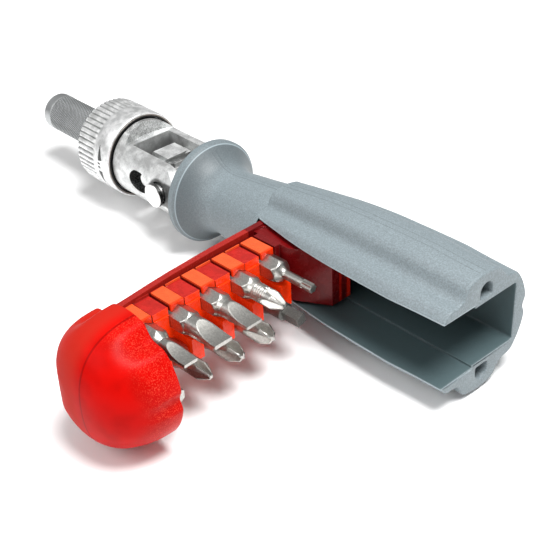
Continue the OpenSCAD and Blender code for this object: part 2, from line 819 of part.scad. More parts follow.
module selector_ring() {
  band_end = ring_len - ring_grip_len;
  rear_bore = housing_r + ring_bore_gap;
  front_bore = hub_r + slide_gap;
  color([0.72, 0.72, 0.71]) part_frame() along_x(ring_x) difference() {
    union() {
      rotate_extrude() polygon([
        [0, 0], [ring_r - ring_chamfer / 2, 0], [ring_r, ring_chamfer / 2],
        [ring_r, band_end - ring_chamfer], [ring_r - ring_chamfer, band_end], [0, band_end]
      ]);
      intersection() {
        translate([0, 0, band_end - cut]) linear_extrude(ring_grip_len + cut)
          polygon(fluted(ring_r + ring_chamfer / 4, ring_flute_depth, ring_flutes));
        cylinder(r1 = ring_r + ring_len, r2 = ring_r - ring_chamfer, h = ring_len);
      }
    }
    translate([0, 0, -cut]) cylinder(r = rear_bore, h = shoulder_len + slide_gap + cut);
    translate([0, 0, -cut]) cylinder(r = front_bore, h = ring_len + 2 * cut);
    translate([0, 0, ring_len - ring_wall_front]) cylinder(r = retainer_r + part_gap, h = ring_wall_front + cut);
    // dimples of the detent, one for each position
    for (a = detent_angles)
      rotate(a) translate([0, -front_bore - dimple_depth + ball_r, gear_x + gear_len / 2 - ring_x])
        sphere(r = ball_r + running_gap);
  }
}

module ring_retainer() {
  color([0.30, 0.30, 0.31]) part_frame() along_x(ring_end_x - retainer_set - retainer_t) difference() {
    cylinder(r = retainer_r, h = retainer_t);
    translate([0, 0, -cut]) cylinder(r = hub_r - groove_depth + running_gap, h = retainer_t + 2 * cut);
    translate([0, -retainer_slot_w / 2, -cut]) cube([retainer_r + cut, retainer_slot_w, retainer_t + 2 * cut]);
  }
}

function gear_points() = [
  for (i = [0 : gear_teeth - 1])
    let (a = 360 / gear_teeth)
      each [
        [gear_root_r * cos(a * i), gear_root_r * sin(a * i)],
        [gear_tip_r * cos(a * (i + 0.5)), gear_tip_r * sin(a * (i + 0.5))]
      ]
];

module bit_holder() {
  snap_x = tip_x - snap_at;
  color([0.42, 0.43, 0.44]) part_frame() difference() {
    union() {
      along_x(gear_x - journal_len) cylinder(r = journal_r, h = journal_len + cut);
      along_x(gear_x) linear_extrude(gear_len) polygon(gear_points());
      along_x(gear_x + gear_len - cut) cylinder(r = spindle_neck_r - running_gap, h = holder_x - gear_x - gear_len + 2 * cut);
      along_x(holder_x) rotate_extrude() polygon([
        [0, 0], [holder_r - holder_front_chamfer, 0], [holder_r, holder_front_chamfer],
        [holder_r, holder_len - holder_front_chamfer], [holder_r - holder_front_chamfer, holder_len], [0, holder_len]
      ]);
    }
    // hex socket, magnet pocket and snap ring groove
    along_x(tip_x - socket_depth) cylinder(r = (bit_af + 2 * slide_gap) / sqrt(3), h = socket_depth + cut, $fn = hex_sides);
    along_x(tip_x - socket_depth - magnet_len) cylinder(r = magnet_r, h = magnet_len + cut);
    along_x(tip_x - mouth_chamfer) cylinder(r1 = hex_r, r2 = hex_r + mouth_chamfer, h = mouth_chamfer);
    along_x(snap_x - snap_t - slide_gap) cylinder(r = snap_r + slide_gap, h = snap_t + 2 * slide_gap);
  }
}

module front_bush() {
  color([0.72, 0.58, 0.34]) part_frame() along_x(hub_end_x - bush_len) difference() {
    cylinder(r = bush_r, h = bush_len);
    translate([0, 0, -cut]) cylinder(r = spindle_neck_r, h = bush_len + 2 * cut);
  }
}

// pawl with a wedge nose that stands in one tooth gap, above the axis for side 1
module pawl(side) {
  tip_a = 180 / gear_teeth;
  cheek_z = gear_tip_r + slide_gap + running_gap;
  color([0.52, 0.52, 0.52]) part_frame()
    section_x(gear_x + gear_len / 2 - pawl_len / 2, gear_x + gear_len / 2 + pawl_len / 2)
      scale([1, side]) polygon([
        [0, pawl_nose_r],
        [gear_tip_r * sin(tip_a), cheek_z], [pawl_half_w, cheek_z + slide_gap],
        [pawl_half_w, pawl_top_r], [-pawl_half_w, pawl_top_r],
        [-pawl_half_w, cheek_z + slide_gap], [-gear_tip_r * sin(tip_a), cheek_z]
      ]);
}

module pawl_spring(side) {
  color([0.75, 0.75, 0.75]) part_frame()
    translate([gear_x + gear_len / 2, 0, side > 0 ? pawl_top_r : -pocket_r]) difference() {
      cylinder(r = pawl_spring_r, h = pocket_r - pawl_top_r);
      translate([0, 0, -cut]) cylinder(r = pawl_spring_bore, h = pocket_r - pawl_top_r + 2 * cut);
    }
}

module pawl_upper() pawl(1);
module pawl_lower() pawl(-1);
module pawl_spring_upper() pawl_spring(1);
module pawl_spring_lower() pawl_spring(-1);

module detent_ball() {
  color([0.85, 0.85, 0.85]) part_frame()
    translate([gear_x + gear_len / 2, -hub_r + ball_r, 0]) sphere(r = ball_r);
}

module detent_spring() {
  color([0.75, 0.75, 0.75]) part_frame()
    translate([gear_x + gear_len / 2, -hub_r + 2 * ball_r, 0]) rotate([-90, 0, 0]) difference() {
      cylinder(r = ball_r - slide_gap, h = detent_len - 3 * ball_r);
      translate([0, 0, -cut]) cylinder(r = detent_spring_bore, h = detent_len);
    }
}

module socket_magnet() {
  color([0.60, 0.60, 0.61]) part_frame()
    along_x(tip_x - socket_depth - magnet_len) cylinder(r = magnet_r, h = magnet_len);
}

module bit_snap_ring() {
  color([0.35, 0.35, 0.36]) part_frame() along_x(tip_x - snap_at - snap_t) difference() {
    cylinder(r = snap_r, h = snap_t);
    translate([0, 0, -cut]) cylinder(r = hex_r, h = snap_t + 2 * cut);
    translate([0, -snap_slot_w / 2, -cut]) cube([snap_r + cut, snap_slot_w, snap_t + 2 * cut]);
  }
}

handle();
bit_magazine();
bit_slotted_narrow();
bit_slotted_wide();
bit_slotted_medium();
bit_pozi_ringed();
bit_torx();
bit_hex_key();
bit_phillips_small();
bit_phillips_medium();
bit_phillips_large();
bit_square();
swivel_stem();
swivel_pin();
swivel_pin_washer();
swivel_pin_clip();
lock_slider();
ratchet_housing();
selector_ring();
ring_retainer();
bit_holder();
front_bush();
pawl_upper();
pawl_lower();
pawl_spring_upper();
pawl_spring_lower();
detent_ball();
detent_spring();
socket_magnet();
bit_snap_ring();
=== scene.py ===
"""Ratcheting screwdriver with a swivel head and a bit magazine that stands swung out of the grip.

Lengths in the shape functions are in millimetres, in stations along the tool: X = 0 at the butt
face of the grip, +X toward the bit holder, +Y toward the side where the magazine opens, +Z up.
row() carries them into the frame of the CAD model, in metres.
"""

import math

import bmesh
import bpy
import numpy as np
from bpy.props import FloatProperty, FloatVectorProperty, IntProperty, PointerProperty
from mathutils import Matrix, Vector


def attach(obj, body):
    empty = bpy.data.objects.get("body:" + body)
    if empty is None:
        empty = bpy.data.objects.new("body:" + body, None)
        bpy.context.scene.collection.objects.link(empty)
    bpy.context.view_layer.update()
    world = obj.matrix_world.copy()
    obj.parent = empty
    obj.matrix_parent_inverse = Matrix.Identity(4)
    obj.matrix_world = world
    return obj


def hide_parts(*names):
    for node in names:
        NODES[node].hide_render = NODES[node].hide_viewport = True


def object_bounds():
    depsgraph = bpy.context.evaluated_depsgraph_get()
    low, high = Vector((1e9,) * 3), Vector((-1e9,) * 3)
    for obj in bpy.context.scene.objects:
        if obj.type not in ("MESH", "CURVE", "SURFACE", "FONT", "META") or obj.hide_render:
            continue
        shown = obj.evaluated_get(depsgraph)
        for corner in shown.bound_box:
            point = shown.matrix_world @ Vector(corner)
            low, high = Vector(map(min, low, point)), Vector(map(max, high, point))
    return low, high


bl_info = {
    "name": "Ratcheting screwdriver",
    "version": (1, 0, 0),
    "blender": (4, 5, 0),
    "location": "View3D > Sidebar > Screwdriver",
    "description": "Builds the looks of a ratcheting screwdriver over its packed frame",
    "category": "Object",
}

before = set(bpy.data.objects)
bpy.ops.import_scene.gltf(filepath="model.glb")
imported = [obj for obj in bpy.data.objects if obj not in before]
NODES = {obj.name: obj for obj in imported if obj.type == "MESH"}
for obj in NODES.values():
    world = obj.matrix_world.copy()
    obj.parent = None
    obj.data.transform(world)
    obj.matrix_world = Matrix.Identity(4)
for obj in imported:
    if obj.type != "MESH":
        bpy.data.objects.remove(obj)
CAD_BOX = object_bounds()

MM = 0.001
TIP_X = 198.5
BARREL_LEN = 74.4
BAY_END_X = 72.6
GUARD_X = 110.8
SWIVEL_X = 121.0
RING_X = 146.0
HOLDER_R = 6.7
KNURL_X = (165.6, 194.6)
PIVOT = (63.8, 8.75)
OPEN_ANGLE = math.radians(88)
FULL_TURN = 2 * math.pi


# Places


def row(points):
    """Stations in millimetres to the frame in metres: X less the tip's station, all times 0.001."""
    place = np.array(points, float)
    place[..., 0] -= TIP_X
    return place * MM


def swung(points):
    """A point of the closed magazine turned about the pivot by minus the opening angle, in the XY plane."""
    place = np.array(points, float)
    x = place[..., 0] - PIVOT[0]
    y = place[..., 1] - PIVOT[1]
    c, s = math.cos(OPEN_ANGLE), math.sin(OPEN_ANGLE)
    place[..., 0] = PIVOT[0] + x * c + y * s
    place[..., 1] = PIVOT[1] - x * s + y * c
    return place


# Meshes

UNCUT = 99.0
MERGE = 2e-6
CARRIER_MERGE = 1e-6
CASTING_MERGE = 1e-5
FLAT_ANGLE = math.radians(1.0)


def clean_mesh(mesh):
    """Merges near corners and turns the faces outwards."""
    bm = bmesh.new()
    bm.from_mesh(mesh)
    bmesh.ops.remove_doubles(bm, verts=bm.verts, dist=MERGE)
    bmesh.ops.recalc_face_normals(bm, faces=bm.faces)
    bm.to_mesh(mesh)
    bm.free()


def mesh_piece(name, points, faces, body, nodes=(), angle=35.0):
    """Piece from an array of points in metres and a list of faces."""
    mesh = bpy.data.meshes.new(name)
    mesh.from_pydata(np.asarray(points).reshape(-1, 3).tolist(), [], faces)
    clean_mesh(mesh)
    return finish_piece(name, mesh, body, nodes, angle)


def finish_piece(name, mesh, body, nodes=(), angle=35.0):
    """Object of a finished mesh: smooth up to the angle, on its body, in place of its nodes."""
    mesh.shade_smooth()
    mesh.set_sharp_from_angle(angle=math.radians(angle))
    piece = bpy.data.objects.new(name, mesh)
    bpy.context.scene.collection.objects.link(piece)
    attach(piece, body)
    if nodes:
        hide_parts(*nodes)
    return piece


def grid_faces(rows, cols, wrap_rows=False, wrap_cols=True, start=0):
    """Quads between neighbours of a grid of rows x cols, closed around where asked."""
    r = np.arange(rows if wrap_rows else rows - 1)
    c = np.arange(cols if wrap_cols else cols - 1)
    i, j = np.meshgrid(r, c, indexing="ij")
    i2, j2 = (i + 1) % rows, (j + 1) % cols
    quads = np.stack([i * cols + j, i2 * cols + j, i2 * cols + j2, i * cols + j2], -1)
    return (quads.reshape(-1, 4) + start).tolist()


def end_faces(rows, cols):
    """One face over the first row of a grid and one over its last row."""
    return [list(range(cols)), list(range((rows - 1) * cols, rows * cols))]


def turn_angles(count):
    """Evenly spaced angles round a full turn, in radians."""
    return np.linspace(0, FULL_TURN, count, endpoint=False)


def around(x, radius, theta):
    """Grid of points around the X axis: (x, r cos t, r sin t), with one row for each station."""
    x, radius, theta = np.broadcast_arrays(x, radius, theta)
    return np.stack([x, radius * np.cos(theta), radius * np.sin(theta)], -1)


def closed_turn(name, x, radius, body, nodes, angle):
    """Solid around the X axis: a radius for each station and angle, with both ends closed by a face."""
    rows, count = radius.shape
    points = around(x[:, None], radius, turn_angles(count)[None, :])
    faces = grid_faces(rows, count) + end_faces(rows, count)
    return mesh_piece(name, row(points), faces, body, nodes, angle)


def ring_turn(name, x, radius, body, nodes, angle):
    """Ring around the X axis: a closed profile of stations and radii carried round, closed both ways."""
    rows, count = radius.shape
    points = around(x[:, None], radius, turn_angles(count)[None, :])
    return mesh_piece(name, row(points), grid_faces(rows, count, wrap_rows=True), body, nodes, angle)


def rounded(corners, radii, steps=5):
    """Polyline through corners, each turned by a quadratic curve that starts and ends at its radius."""
    corners = np.array(corners, float)
    line = [corners[0]]
    t = np.linspace(0, 1, steps)[:, None]
    for k in range(1, len(corners) - 1):
        before, corner, after = corners[k - 1], corners[k], corners[k + 1]
        if radii[k] <= 0:
            line.append(corner)
            continue
        start = corner + (before - corner) / np.linalg.norm(before - corner) * radii[k]
        end = corner + (after - corner) / np.linalg.norm(after - corner) * radii[k]
        line.extend((1 - t) ** 2 * start + 2 * t * (1 - t) * corner + t**2 * end)
    line.append(corners[-1])
    return np.array(line)


def soft_least(a, b, k):
    """The lesser of a and b, with the crease between them rounded over k."""
    h = np.clip(0.5 + 0.5 * (b - a) / k, 0, 1)
    return b * (1 - h) + a * h - k * h * (1 - h)


def eased(x, xs, ys):
    """Smooth curve through the points: cubic pieces whose slopes are the neighbours' harmonic mean."""
    h = np.diff(xs)
    d = np.diff(ys) / h
    m = np.zeros(len(xs))
    m[1:-1] = np.where(d[:-1] * d[1:] > 0, 2 * d[:-1] * d[1:] / (d[:-1] + d[1:] + 1e-12), 0)
    m[0], m[-1] = d[0], d[-1]
    k = np.clip(np.searchsorted(xs, x) - 1, 0, len(h) - 1)
    s = np.clip((x - xs[k]) / h[k], 0, 1)
    return (
        (2 * s**3 - 3 * s**2 + 1) * ys[k]
        + (s**3 - 2 * s**2 + s) * h[k] * m[k]
        + (-2 * s**3 + 3 * s**2) * ys[k + 1]
        + (s**3 - s**2) * h[k] * m[k + 1]
    )


def dressed_copy(node, name, body, bevel):
    """Copy of a CAD node's mesh: corners merged, flat areas dissolved, edges rounded by a Bevel modifier."""
    mesh = NODES[node].data.copy()
    mesh.materials.clear()
    bm = bmesh.new()
    bm.from_mesh(mesh)
    bmesh.ops.remove_doubles(bm, verts=bm.verts, dist=CASTING_MERGE)
    bmesh.ops.dissolve_limit(bm, angle_limit=FLAT_ANGLE, verts=bm.verts, edges=bm.edges)
    bm.to_mesh(mesh)
    bm.free()
    piece = finish_piece(name, mesh, body, [node], 30)
    add_bevel(piece, bevel, 30)
    return piece


def add_bevel(piece, width, angle):
    """Bevel modifier of two segments, width in millimetres, on edges sharper than the angle."""
    bevel = piece.modifiers.new("soft_edges", "BEVEL")
    bevel.width = width * MM
    bevel.segments = 2
    bevel.limit_method = "ANGLE"
    bevel.angle_limit = math.radians(angle)
    bevel.use_clamp_overlap = True
    bevel.miter_outer = "MITER_ARC"
    bevel.harden_normals = False


# Shader maths


def fill_sockets(tree, node, sockets):
    """Gives each input, by name or number, its link or its constant."""
    for key, given in sockets.items():
        socket = node.inputs[key.replace("_", " ") if isinstance(key, str) else key]
        source = given.socket if isinstance(given, Value) else given
        if isinstance(source, bpy.types.NodeSocket):
            tree.links.new(source, socket)
        else:
            socket.default_value = source


def add_node(tree, kind, settings=None, sockets=None):
    """One node of the kind: its settings are set first, then its sockets."""
    node = tree.nodes.new(kind)
    for key, setting in (settings or {}).items():
        setattr(node, key, setting)
    fill_sockets(tree, node, sockets or {})
    return node


class Value:
    """A shader socket in a Python expression: each operator adds one Math node."""

    def __init__(self, tree, socket):
        self.tree = tree
        self.socket = socket

    def math(self, operation, *values, clamp=False):
        settings = {"operation": operation, "use_clamp": clamp}
        node = add_node(self.tree, "ShaderNodeMath", settings, dict(enumerate(values)))
        return Value(self.tree, node.outputs[0])

    def __add__(self, other):
        return self.math("ADD", self, other)

    __radd__ = __add__

    def __sub__(self, other):
        return self.math("SUBTRACT", self, other)

    def __rsub__(self, other):
        return self.math("SUBTRACT", other, self)

    def __mul__(self, other):
        return self.math("MULTIPLY", self, other)

    __rmul__ = __mul__

    def __pow__(self, other):
        return self.math("POWER", self, other)

    def over(self, edge):
        return self.math("GREATER_THAN", self, edge)

    def under(self, edge):
        return self.math("LESS_THAN", self, edge)

    def between(self, low, high):
        """1 between low and high, 0 outside."""
        return self.over(low) * self.under(high)

    def size(self):
        return self.math("ABSOLUTE", self)

    def most(self, other):
        return self.math("MAXIMUM", self, other)

    def clamped(self):
        """Held between 0 and 1."""
        return self.math("ADD", self, 0.0, clamp=True)

    def step(self, low, high):
        """0 below low, 1 above high, smooth between."""
        settings = {"interpolation_type": "SMOOTHSTEP"}
        node = add_node(self.tree, "ShaderNodeMapRange", settings, {0: self, 1: low, 2: high})
        return Value(self.tree, node.outputs[0])

    def fall(self, low, high):
        """1 below low, 0 above high, smooth between."""
        return 1.0 - self.step(low, high)

    def near(self, low, high):
        """1 within low of zero, 0 farther than high from it, smooth between."""
        return self.size().fall(low, high)


class Finish:
    """A material with one Principled shader, whose patterns read Object coordinates."""

    def __init__(self, name, **sockets):
        self.material = bpy.data.materials.new(name)
        self.material.use_nodes = True
        self.tree = self.material.node_tree
        self.shader = self.tree.nodes["Principled BSDF"]
        fill_sockets(self.tree, self.shader, sockets)
        self.coords = self.node("ShaderNodeTexCoord").outputs["Object"]

    def node(self, kind, settings=None, **sockets):
        return add_node(self.tree, kind, settings, sockets)

    def noise(self, grain_mm, detail=2.0, roughness=0.5, coords=None):
        """Noise between 0 and 1 whose grains are about grain_mm wide."""
        sockets = {"Scale": 1.0 / (grain_mm * MM), "Detail": detail, "Roughness": roughness}
        place = self.coords if coords is None else coords
        node = self.node("ShaderNodeTexNoise", Vector=place, **sockets)
        return Value(self.tree, node.outputs[0])

    def stretched(self, grain_mm, x, y, z):
        """Noise whose grains are drawn out: each axis is divided by its own factor."""
        mapping = self.node("ShaderNodeMapping", Vector=self.coords, Scale=(1 / x, 1 / y, 1 / z))
        return self.noise(grain_mm, coords=mapping.outputs[0])

    def axes(self):
        """The place in the frame, in millimetres."""
        split = self.node("ShaderNodeSeparateXYZ", Vector=self.coords)
        return [Value(self.tree, split.outputs[k]) * (1.0 / MM) for k in range(3)]

    def stations(self):
        """Station, side and height of the place, in millimetres."""
        x, y, z = self.axes()
        return x + TIP_X, y, z

    def mix(self, factor, low, high):
        """Colour low where factor is 0 and high where it is 1."""
        sockets = {0: factor}
        for key, colour in ((6, low), (7, high)):
            linked = isinstance(colour, bpy.types.NodeSocket)
            sockets[key] = colour if linked else (*colour[:3], 1.0)
        return add_node(self.tree, "ShaderNodeMix", {"data_type": "RGBA"}, sockets).outputs[2]

    def bump(self, height, depth_mm, strength, **normal):
        """Normal that follows the height; a normal given by name is the one it starts from."""
        sockets = {"Strength": strength, "Distance": depth_mm * MM, "Height": height}
        return self.node("ShaderNodeBump", **sockets, **normal).outputs[0]

    def done(self, **sockets):
        fill_sockets(self.tree, self.shader, sockets)
        return self.material


def shade(colour, factor):
    """The colour times the factor, held at 1."""
    return tuple(min(1.0, c * factor) for c in colour[:3])


def give(piece, material):
    """The material goes into the object's own first slot."""
    if not piece.material_slots:
        piece.data.materials.append(None)
    for slot in piece.material_slots:
        slot.link = "OBJECT"
        slot.material = material


# Materials

BAY_AREA_X = (0.25, 72.8)
BAY_AREA_BACK_Y = -13.75
BAY_AREA_HALF_Z = (9.98, 10.2)
HINGE_X = 62.0
HINGE_SLOPE = 0.25
LIP_CORNER_Z = 10.3
LIP_CORNER_X = 72.0
LIP_CORNER_Y = 3.6
TOP_LINES_X = (1.0, 107.0)
BELL_SHADE_X = (97.0, 107.0)
BELL_ROOT_R = 10.8
RIM_R = 16.3
RIM_X = (105.0, 109.0)
CAP_LINE_Y = -3.0
BLOCK_END_X = 53.95
LAND_Z = 7.95
TAB_Z = 8.2
FRONT_Y = 5.35
SPINE_Y = 12.25
SPINE_TAPER = 0.045
STRIPE_X = (69.0, 65.6)
SLOT_X = (112.0, 140.6)
SLOT_HALF_Y = 7.56
SLOT_LIGHT_Z = 9.6
PIN_HOLLOW_R = (4.3, 5.3)
EAR_INNER_Y = (10.5, 9.0)
EAR_END_X = (117.6, 119.0)
MOON_X = 143.3
MOON_HALF_X = 1.7
MOON_Z = 7.6
WINDOW_X = (124.0, 136.6)
WINDOW_HALF_Z = 3.86
WINDOW_MIN_Y = 7.55
WINDOW_MAX_R = 13.0
GAP_X = 145.6
GAP_R = 12.5
PIN_BODY_R = 3.75
PIN_FACE_Y = 15.25
LIP_BROWN_R = (14.05, 14.55)
RING_BORE_DARK_R = 14.12
GROOVE_R = (14.5, 14.94)
GROOVE_MIN_R = 14.2
# Colour of the painted shade in the magazine bay
BAY_PAINTED_SHADE = (0.05, 0.082, 0.088)
CAP_STIPPLE = (0.72, 0.07, 0.04)
RING_EDGE_BROWN = (0.16, 0.12, 0.09)
ZINC_ROUGHNESS = 0.3
CARRIER_COLOURS = {
    "tab": (0.72, 0.085, 0.022),
    "front": (0.80, 0.032, 0.002),
    "land": (0.30, 0.010, 0.007),
    # Colour of the painted shade in the bit pockets
    "pocket_shade": (0.16, 0.004, 0.003),
    "spine": (0.20, 0.009, 0.007),
    "end": (0.095, 0.002, 0.0025),
    "stripe": (0.42, 0.005, 0.003),
}


def bay_area(x, y, z):
    """1 on the faces of the magazine bay, where shade is painted, less a slope that leaves the barrel's back
    behind the pivot.
    """
    back = y - BAY_AREA_BACK_Y - (x - HINGE_X).most(0.0) * HINGE_SLOPE
    return z.near(*BAY_AREA_HALF_Z) * x.between(*BAY_AREA_X) * back.over(0.0)


def mould_lines(x, y, z):
    """1 on the two fine lines along the top of the grip, whose distance grows with the height."""
    return z.over(8.0) * (y.size() - z * 0.055).near(0.05, 0.2) * x.between(*TOP_LINES_X)


def painted_edge_highlights(x, y, z, out):
    """1 on the corner of the bay's lips and on the rim of the bell, where a highlight is painted."""
    lip = (z.size() - LIP_CORNER_Z).near(0.1, 0.24) * y.over(LIP_CORNER_Y) * x.under(LIP_CORNER_X)
    rim = (out - RIM_R).near(0.06, 0.2) * x.between(*RIM_X)
    return (lip + rim).clamped()


def grip_plastic(colour, roughness):
    """Satin moulded plastic with a spark-eroded grain and mould lines; painted shade darkens the bay, the
    bell and the guard's band, and a painted highlight lightens the lip and rim.
    """
    m = Finish("grip_plastic", IOR=1.46)
    x, y, z = m.stations()
    out = (y * y + z * z) ** 0.5
    grain = m.noise(0.42, 3.0, 0.6)
    cloud = m.noise(14.0)
    speckle = m.mix(grain.step(0.36, 0.68), shade(colour, 0.76), shade(colour, 1.36))
    tone = m.mix(0.6, m.mix(cloud, shade(colour, 0.93), shade(colour, 1.07)), speckle)
    # Painted shade: the bay's recess is darkened to a dark teal
    tone = m.mix(bay_area(x, y, z) * 0.92, tone, BAY_PAINTED_SHADE)
    tone = m.mix(mould_lines(x, y, z) * 0.4, tone, shade(colour, 0.3))
    # Painted shade: the bell's hollow face darkens toward the rim, and the guard's outer band a little
    bell = x.step(*BELL_SHADE_X) * out.between(BELL_ROOT_R, RIM_R)
    band = x.over(RIM_X[0]) * out.over(RIM_R)
    tone = m.mix(bell * 0.62, tone, shade(colour, 0.36))
    tone = m.mix(band * 0.3, tone, shade(colour, 0.7))
    # Painted highlight along the bay's lip and the bell's rim
    tone = m.mix(painted_edge_highlights(x, y, z, out) * 0.6, tone, shade(colour, 2.3))
    return m.done(
        Base_Color=tone,
        Roughness=roughness + grain * 0.12,
        Normal=m.bump(grain, 0.05, 0.55),
    )


def closed_place(m):
    """Station, side and height in millimetres of the closed magazine, from the place on the open one."""
    x, y, z = m.axes()
    x = x + (TIP_X - PIVOT[0])
    y = y - PIVOT[1]
    c, s = math.cos(OPEN_ANGLE), math.sin(OPEN_ANGLE)
    return x * c - y * s + PIVOT[0], x * s + y * c + PIVOT[1], z


def cap_plastic(colour, haze, roughness):
    """Tinted plastic of the end cap: hazy behind the mould line, stippled toward the mouth, vivid between,
    with a painted glow of its own red that is dimmer behind the line.
    """
    m = Finish("cap_red", IOR=1.45, Specular_IOR_Level=0.06, Emission_Strength=0.05)
    x, y, _ = closed_place(m)
    behind = y.step(-3.2, 1.5)
    line = (y - CAP_LINE_Y).near(0.12, 0.4)
    near_mouth = x.step(-13.5, -6.0) * y.fall(-4.0, -2.0)
    cloud = m.noise(7.0)
    stipple = m.noise(0.3)
    tone = m.mix(cloud.step(0.35, 0.7), colour, shade(colour, 0.8))
    tone = m.mix(behind * (0.55 + cloud * 0.45), tone, haze)
    tone = m.mix(near_mouth * stipple.step(0.5, 0.66) * 0.5, tone, CAP_STIPPLE)
    tone = m.mix(line * 0.6, tone, shade(colour, 0.3))
    ripple = m.bump(m.noise(0.5), 0.02, 0.3)
    # Painted glow: the cap emits its own red, less behind the mould line, for light through the plastic
    return m.done(
        Base_Color=tone,
        Emission_Color=m.mix(behind, colour, shade(colour, 0.2)),
        Roughness=roughness + behind * 0.14 - near_mouth * 0.08,
        Normal=m.bump(stipple * near_mouth, 0.09, 0.7, Normal=ripple),
    )


def carrier_plastic(colours, roughness):
    """Tinted plastic of the bit carrier: bright tabs and fronts, red lands with painted shade in the pockets,
    a dark spine and pivot end; a painted glow lights the fronts, less the tabs and end stripes.
    """
    m = Finish("carrier_red", IOR=1.45, Specular_IOR_Level=0.3, Emission_Strength=0.2)
    x, y, z = closed_place(m)
    tall = z.size()
    cloud = m.noise(2.2, 3.0, 0.6)
    patches = cloud.step(0.3, 0.7)
    ahead = x.over(BLOCK_END_X)
    block = 1.0 - ahead
    tab = tall.over(TAB_Z) * block
    front = y.under(FRONT_Y) * block
    stripe = ((x - STRIPE_X[0]).near(0.3, 1.2) + (x - STRIPE_X[1]).near(0.2, 0.7) * 0.7).clamped()

    def cloudy(name, factor, spread):
        return m.mix(spread, colours[name], shade(colours[name], factor))

    # Painted shade: the pockets between the tabs, below the lands, take the darker colour
    tone = m.mix(tall.over(LAND_Z) * block, cloudy("pocket_shade", 1.5, cloud), cloudy("land", 1.3, patches))
    tone = m.mix(tab, tone, cloudy("tab", 0.8, patches))
    tone = m.mix(front, tone, colours["front"])
    tone = m.mix((y - x * SPINE_TAPER).over(SPINE_Y), tone, cloudy("spine", 1.6, cloud))
    tone = m.mix(ahead, tone, m.mix(stripe, cloudy("end", 1.7, cloud), colours["stripe"]))
    # Painted glow: the fronts emit their red, the tabs and end stripes less
    painted_glow = (front + tab * 0.35 + ahead * stripe * 0.35).clamped()
    return m.done(
        Base_Color=tone,
        Emission_Color=m.mix(painted_glow, (0.0, 0.0, 0.0), colours["front"]),
        Roughness=roughness + cloud * 0.14,
        Normal=m.bump(cloud, 0.03, 0.3),
    )


def from_pin(x, z):
    """Distance from the swivel pin's axis."""
    return ((x - SWIVEL_X) ** 2.0 + z * z) ** 0.5


def housing_painted_shade(m, tone, colour, pits):
    """Paints shade into the slot, round the pin, on the ears' rear ends, in the half-moon, the windows and
    the ring's gap.
    """
    x, y, z = m.stations()
    side = y.size()
    out_squared = y * y + z * z
    # Painted shade in the slot, darker toward its bottom
    slot = side.under(SLOT_HALF_Y) * x.between(*SLOT_X) * z.fall(0.0, SLOT_LIGHT_Z)
    # Painted shadow round the pin's head; a painted dark patch stands for the shade past the ears' rear ends
    round_pin = from_pin(x, z).fall(*PIN_HOLLOW_R) * side.over(EAR_INNER_Y[0])
    ear_end = x.fall(*EAR_END_X) * side.over(EAR_INNER_Y[1]) * z.near(4.2, 5.0)
    moon_side = 8.4 - (x - (MOON_X - MOON_HALF_X)) * 0.6
    moon = (x - MOON_X).size().under(MOON_HALF_X) * z.over(MOON_Z) * side.under(moon_side)
    window = z.size().under(WINDOW_HALF_Z) * side.over(WINDOW_MIN_Y) * x.between(*WINDOW_X)
    window = window * out_squared.under(WINDOW_MAX_R**2)
    gap = x.over(GAP_X) * out_squared.over(GAP_R**2)
    tone = m.mix(slot * 0.95, tone, shade(colour, 0.18))
    tone = m.mix((round_pin + ear_end).clamped() * 0.88, tone, shade(colour, 0.08))
    tone = m.mix(moon * pits.step(0.4, 0.62) * 0.6, tone, shade(colour, 0.22))
    tone = m.mix(window * (0.8 + pits.step(0.3, 0.6) * 0.2), tone, shade(colour, 0.06))
    return m.mix(gap, tone, shade(colour, 0.03))


def ring_edges(m, tone, colour, _):
    """Browns the selector ring's rear edge and paints shade into its bore and the grooves between its flutes.
    """
    x, y, z = m.stations()
    out = (y * y + z * z) ** 0.5
    edge = x.under(RING_X + 0.22) * out.between(*LIP_BROWN_R)
    bore = x.under(RING_X + 0.3) * out.under(RING_BORE_DARK_R)
    groove = out.fall(*GROOVE_R) * out.over(GROOVE_MIN_R) * x.between(RING_X + 8.2, RING_X + 18.0)
    tone = m.mix(edge * 0.8, tone, RING_EDGE_BROWN)
    # Painted shade in the bore and between the flutes
    tone = m.mix(bore, tone, shade(colour, 0.03))
    return m.mix(groove * 0.75, tone, shade(colour, 0.3))


def cast_zinc(name, colour, grain_mm=0.5, depth=0.05, darkened=None):
    """Bright die-cast zinc: fine pitting, cloudy sheen, and what darkened adds."""
    m = Finish(name, Metallic=0.85)
    pits = m.noise(grain_mm, 3.0, 0.65)
    cloud = m.noise(3.2, 3.0, 0.6)
    tone = m.mix(cloud.step(0.32, 0.68), shade(colour, 0.7), shade(colour, 1.08))
    tone = m.mix(pits.step(0.52, 0.72) * 0.5, tone, shade(colour, 0.45))
    if darkened:
        tone = darkened(m, tone, colour, pits)
    return m.done(
        Base_Color=tone,
        Roughness=ZINC_ROUGHNESS + pits * 0.2 + cloud * 0.12,
        Normal=m.bump(pits, depth, 0.6),
    )


def pin_side_painted_shade(m, tone, colour):
    """Paints shade on the side of the swivel pin's head."""
    x, y, z = m.stations()
    side = from_pin(x, z).over(PIN_BODY_R) * y.size().under(PIN_FACE_Y)
    return m.mix(side, tone, shade(colour, 0.16))


def knurl_painted_shade(m, tone, colour):
    """Paints shade into the bit holder's knurl toward the bottom of its grooves."""
    x, y, z = m.stations()
    out = (y * y + z * z) ** 0.5
    low = out.fall(HOLDER_R - 0.19, HOLDER_R - 0.01) * out.over(HOLDER_R - 0.6)
    return m.mix(low * x.between(KNURL_X[0] + 0.1, KNURL_X[1] - 0.1) * 0.8, tone, shade(colour, 0.12))


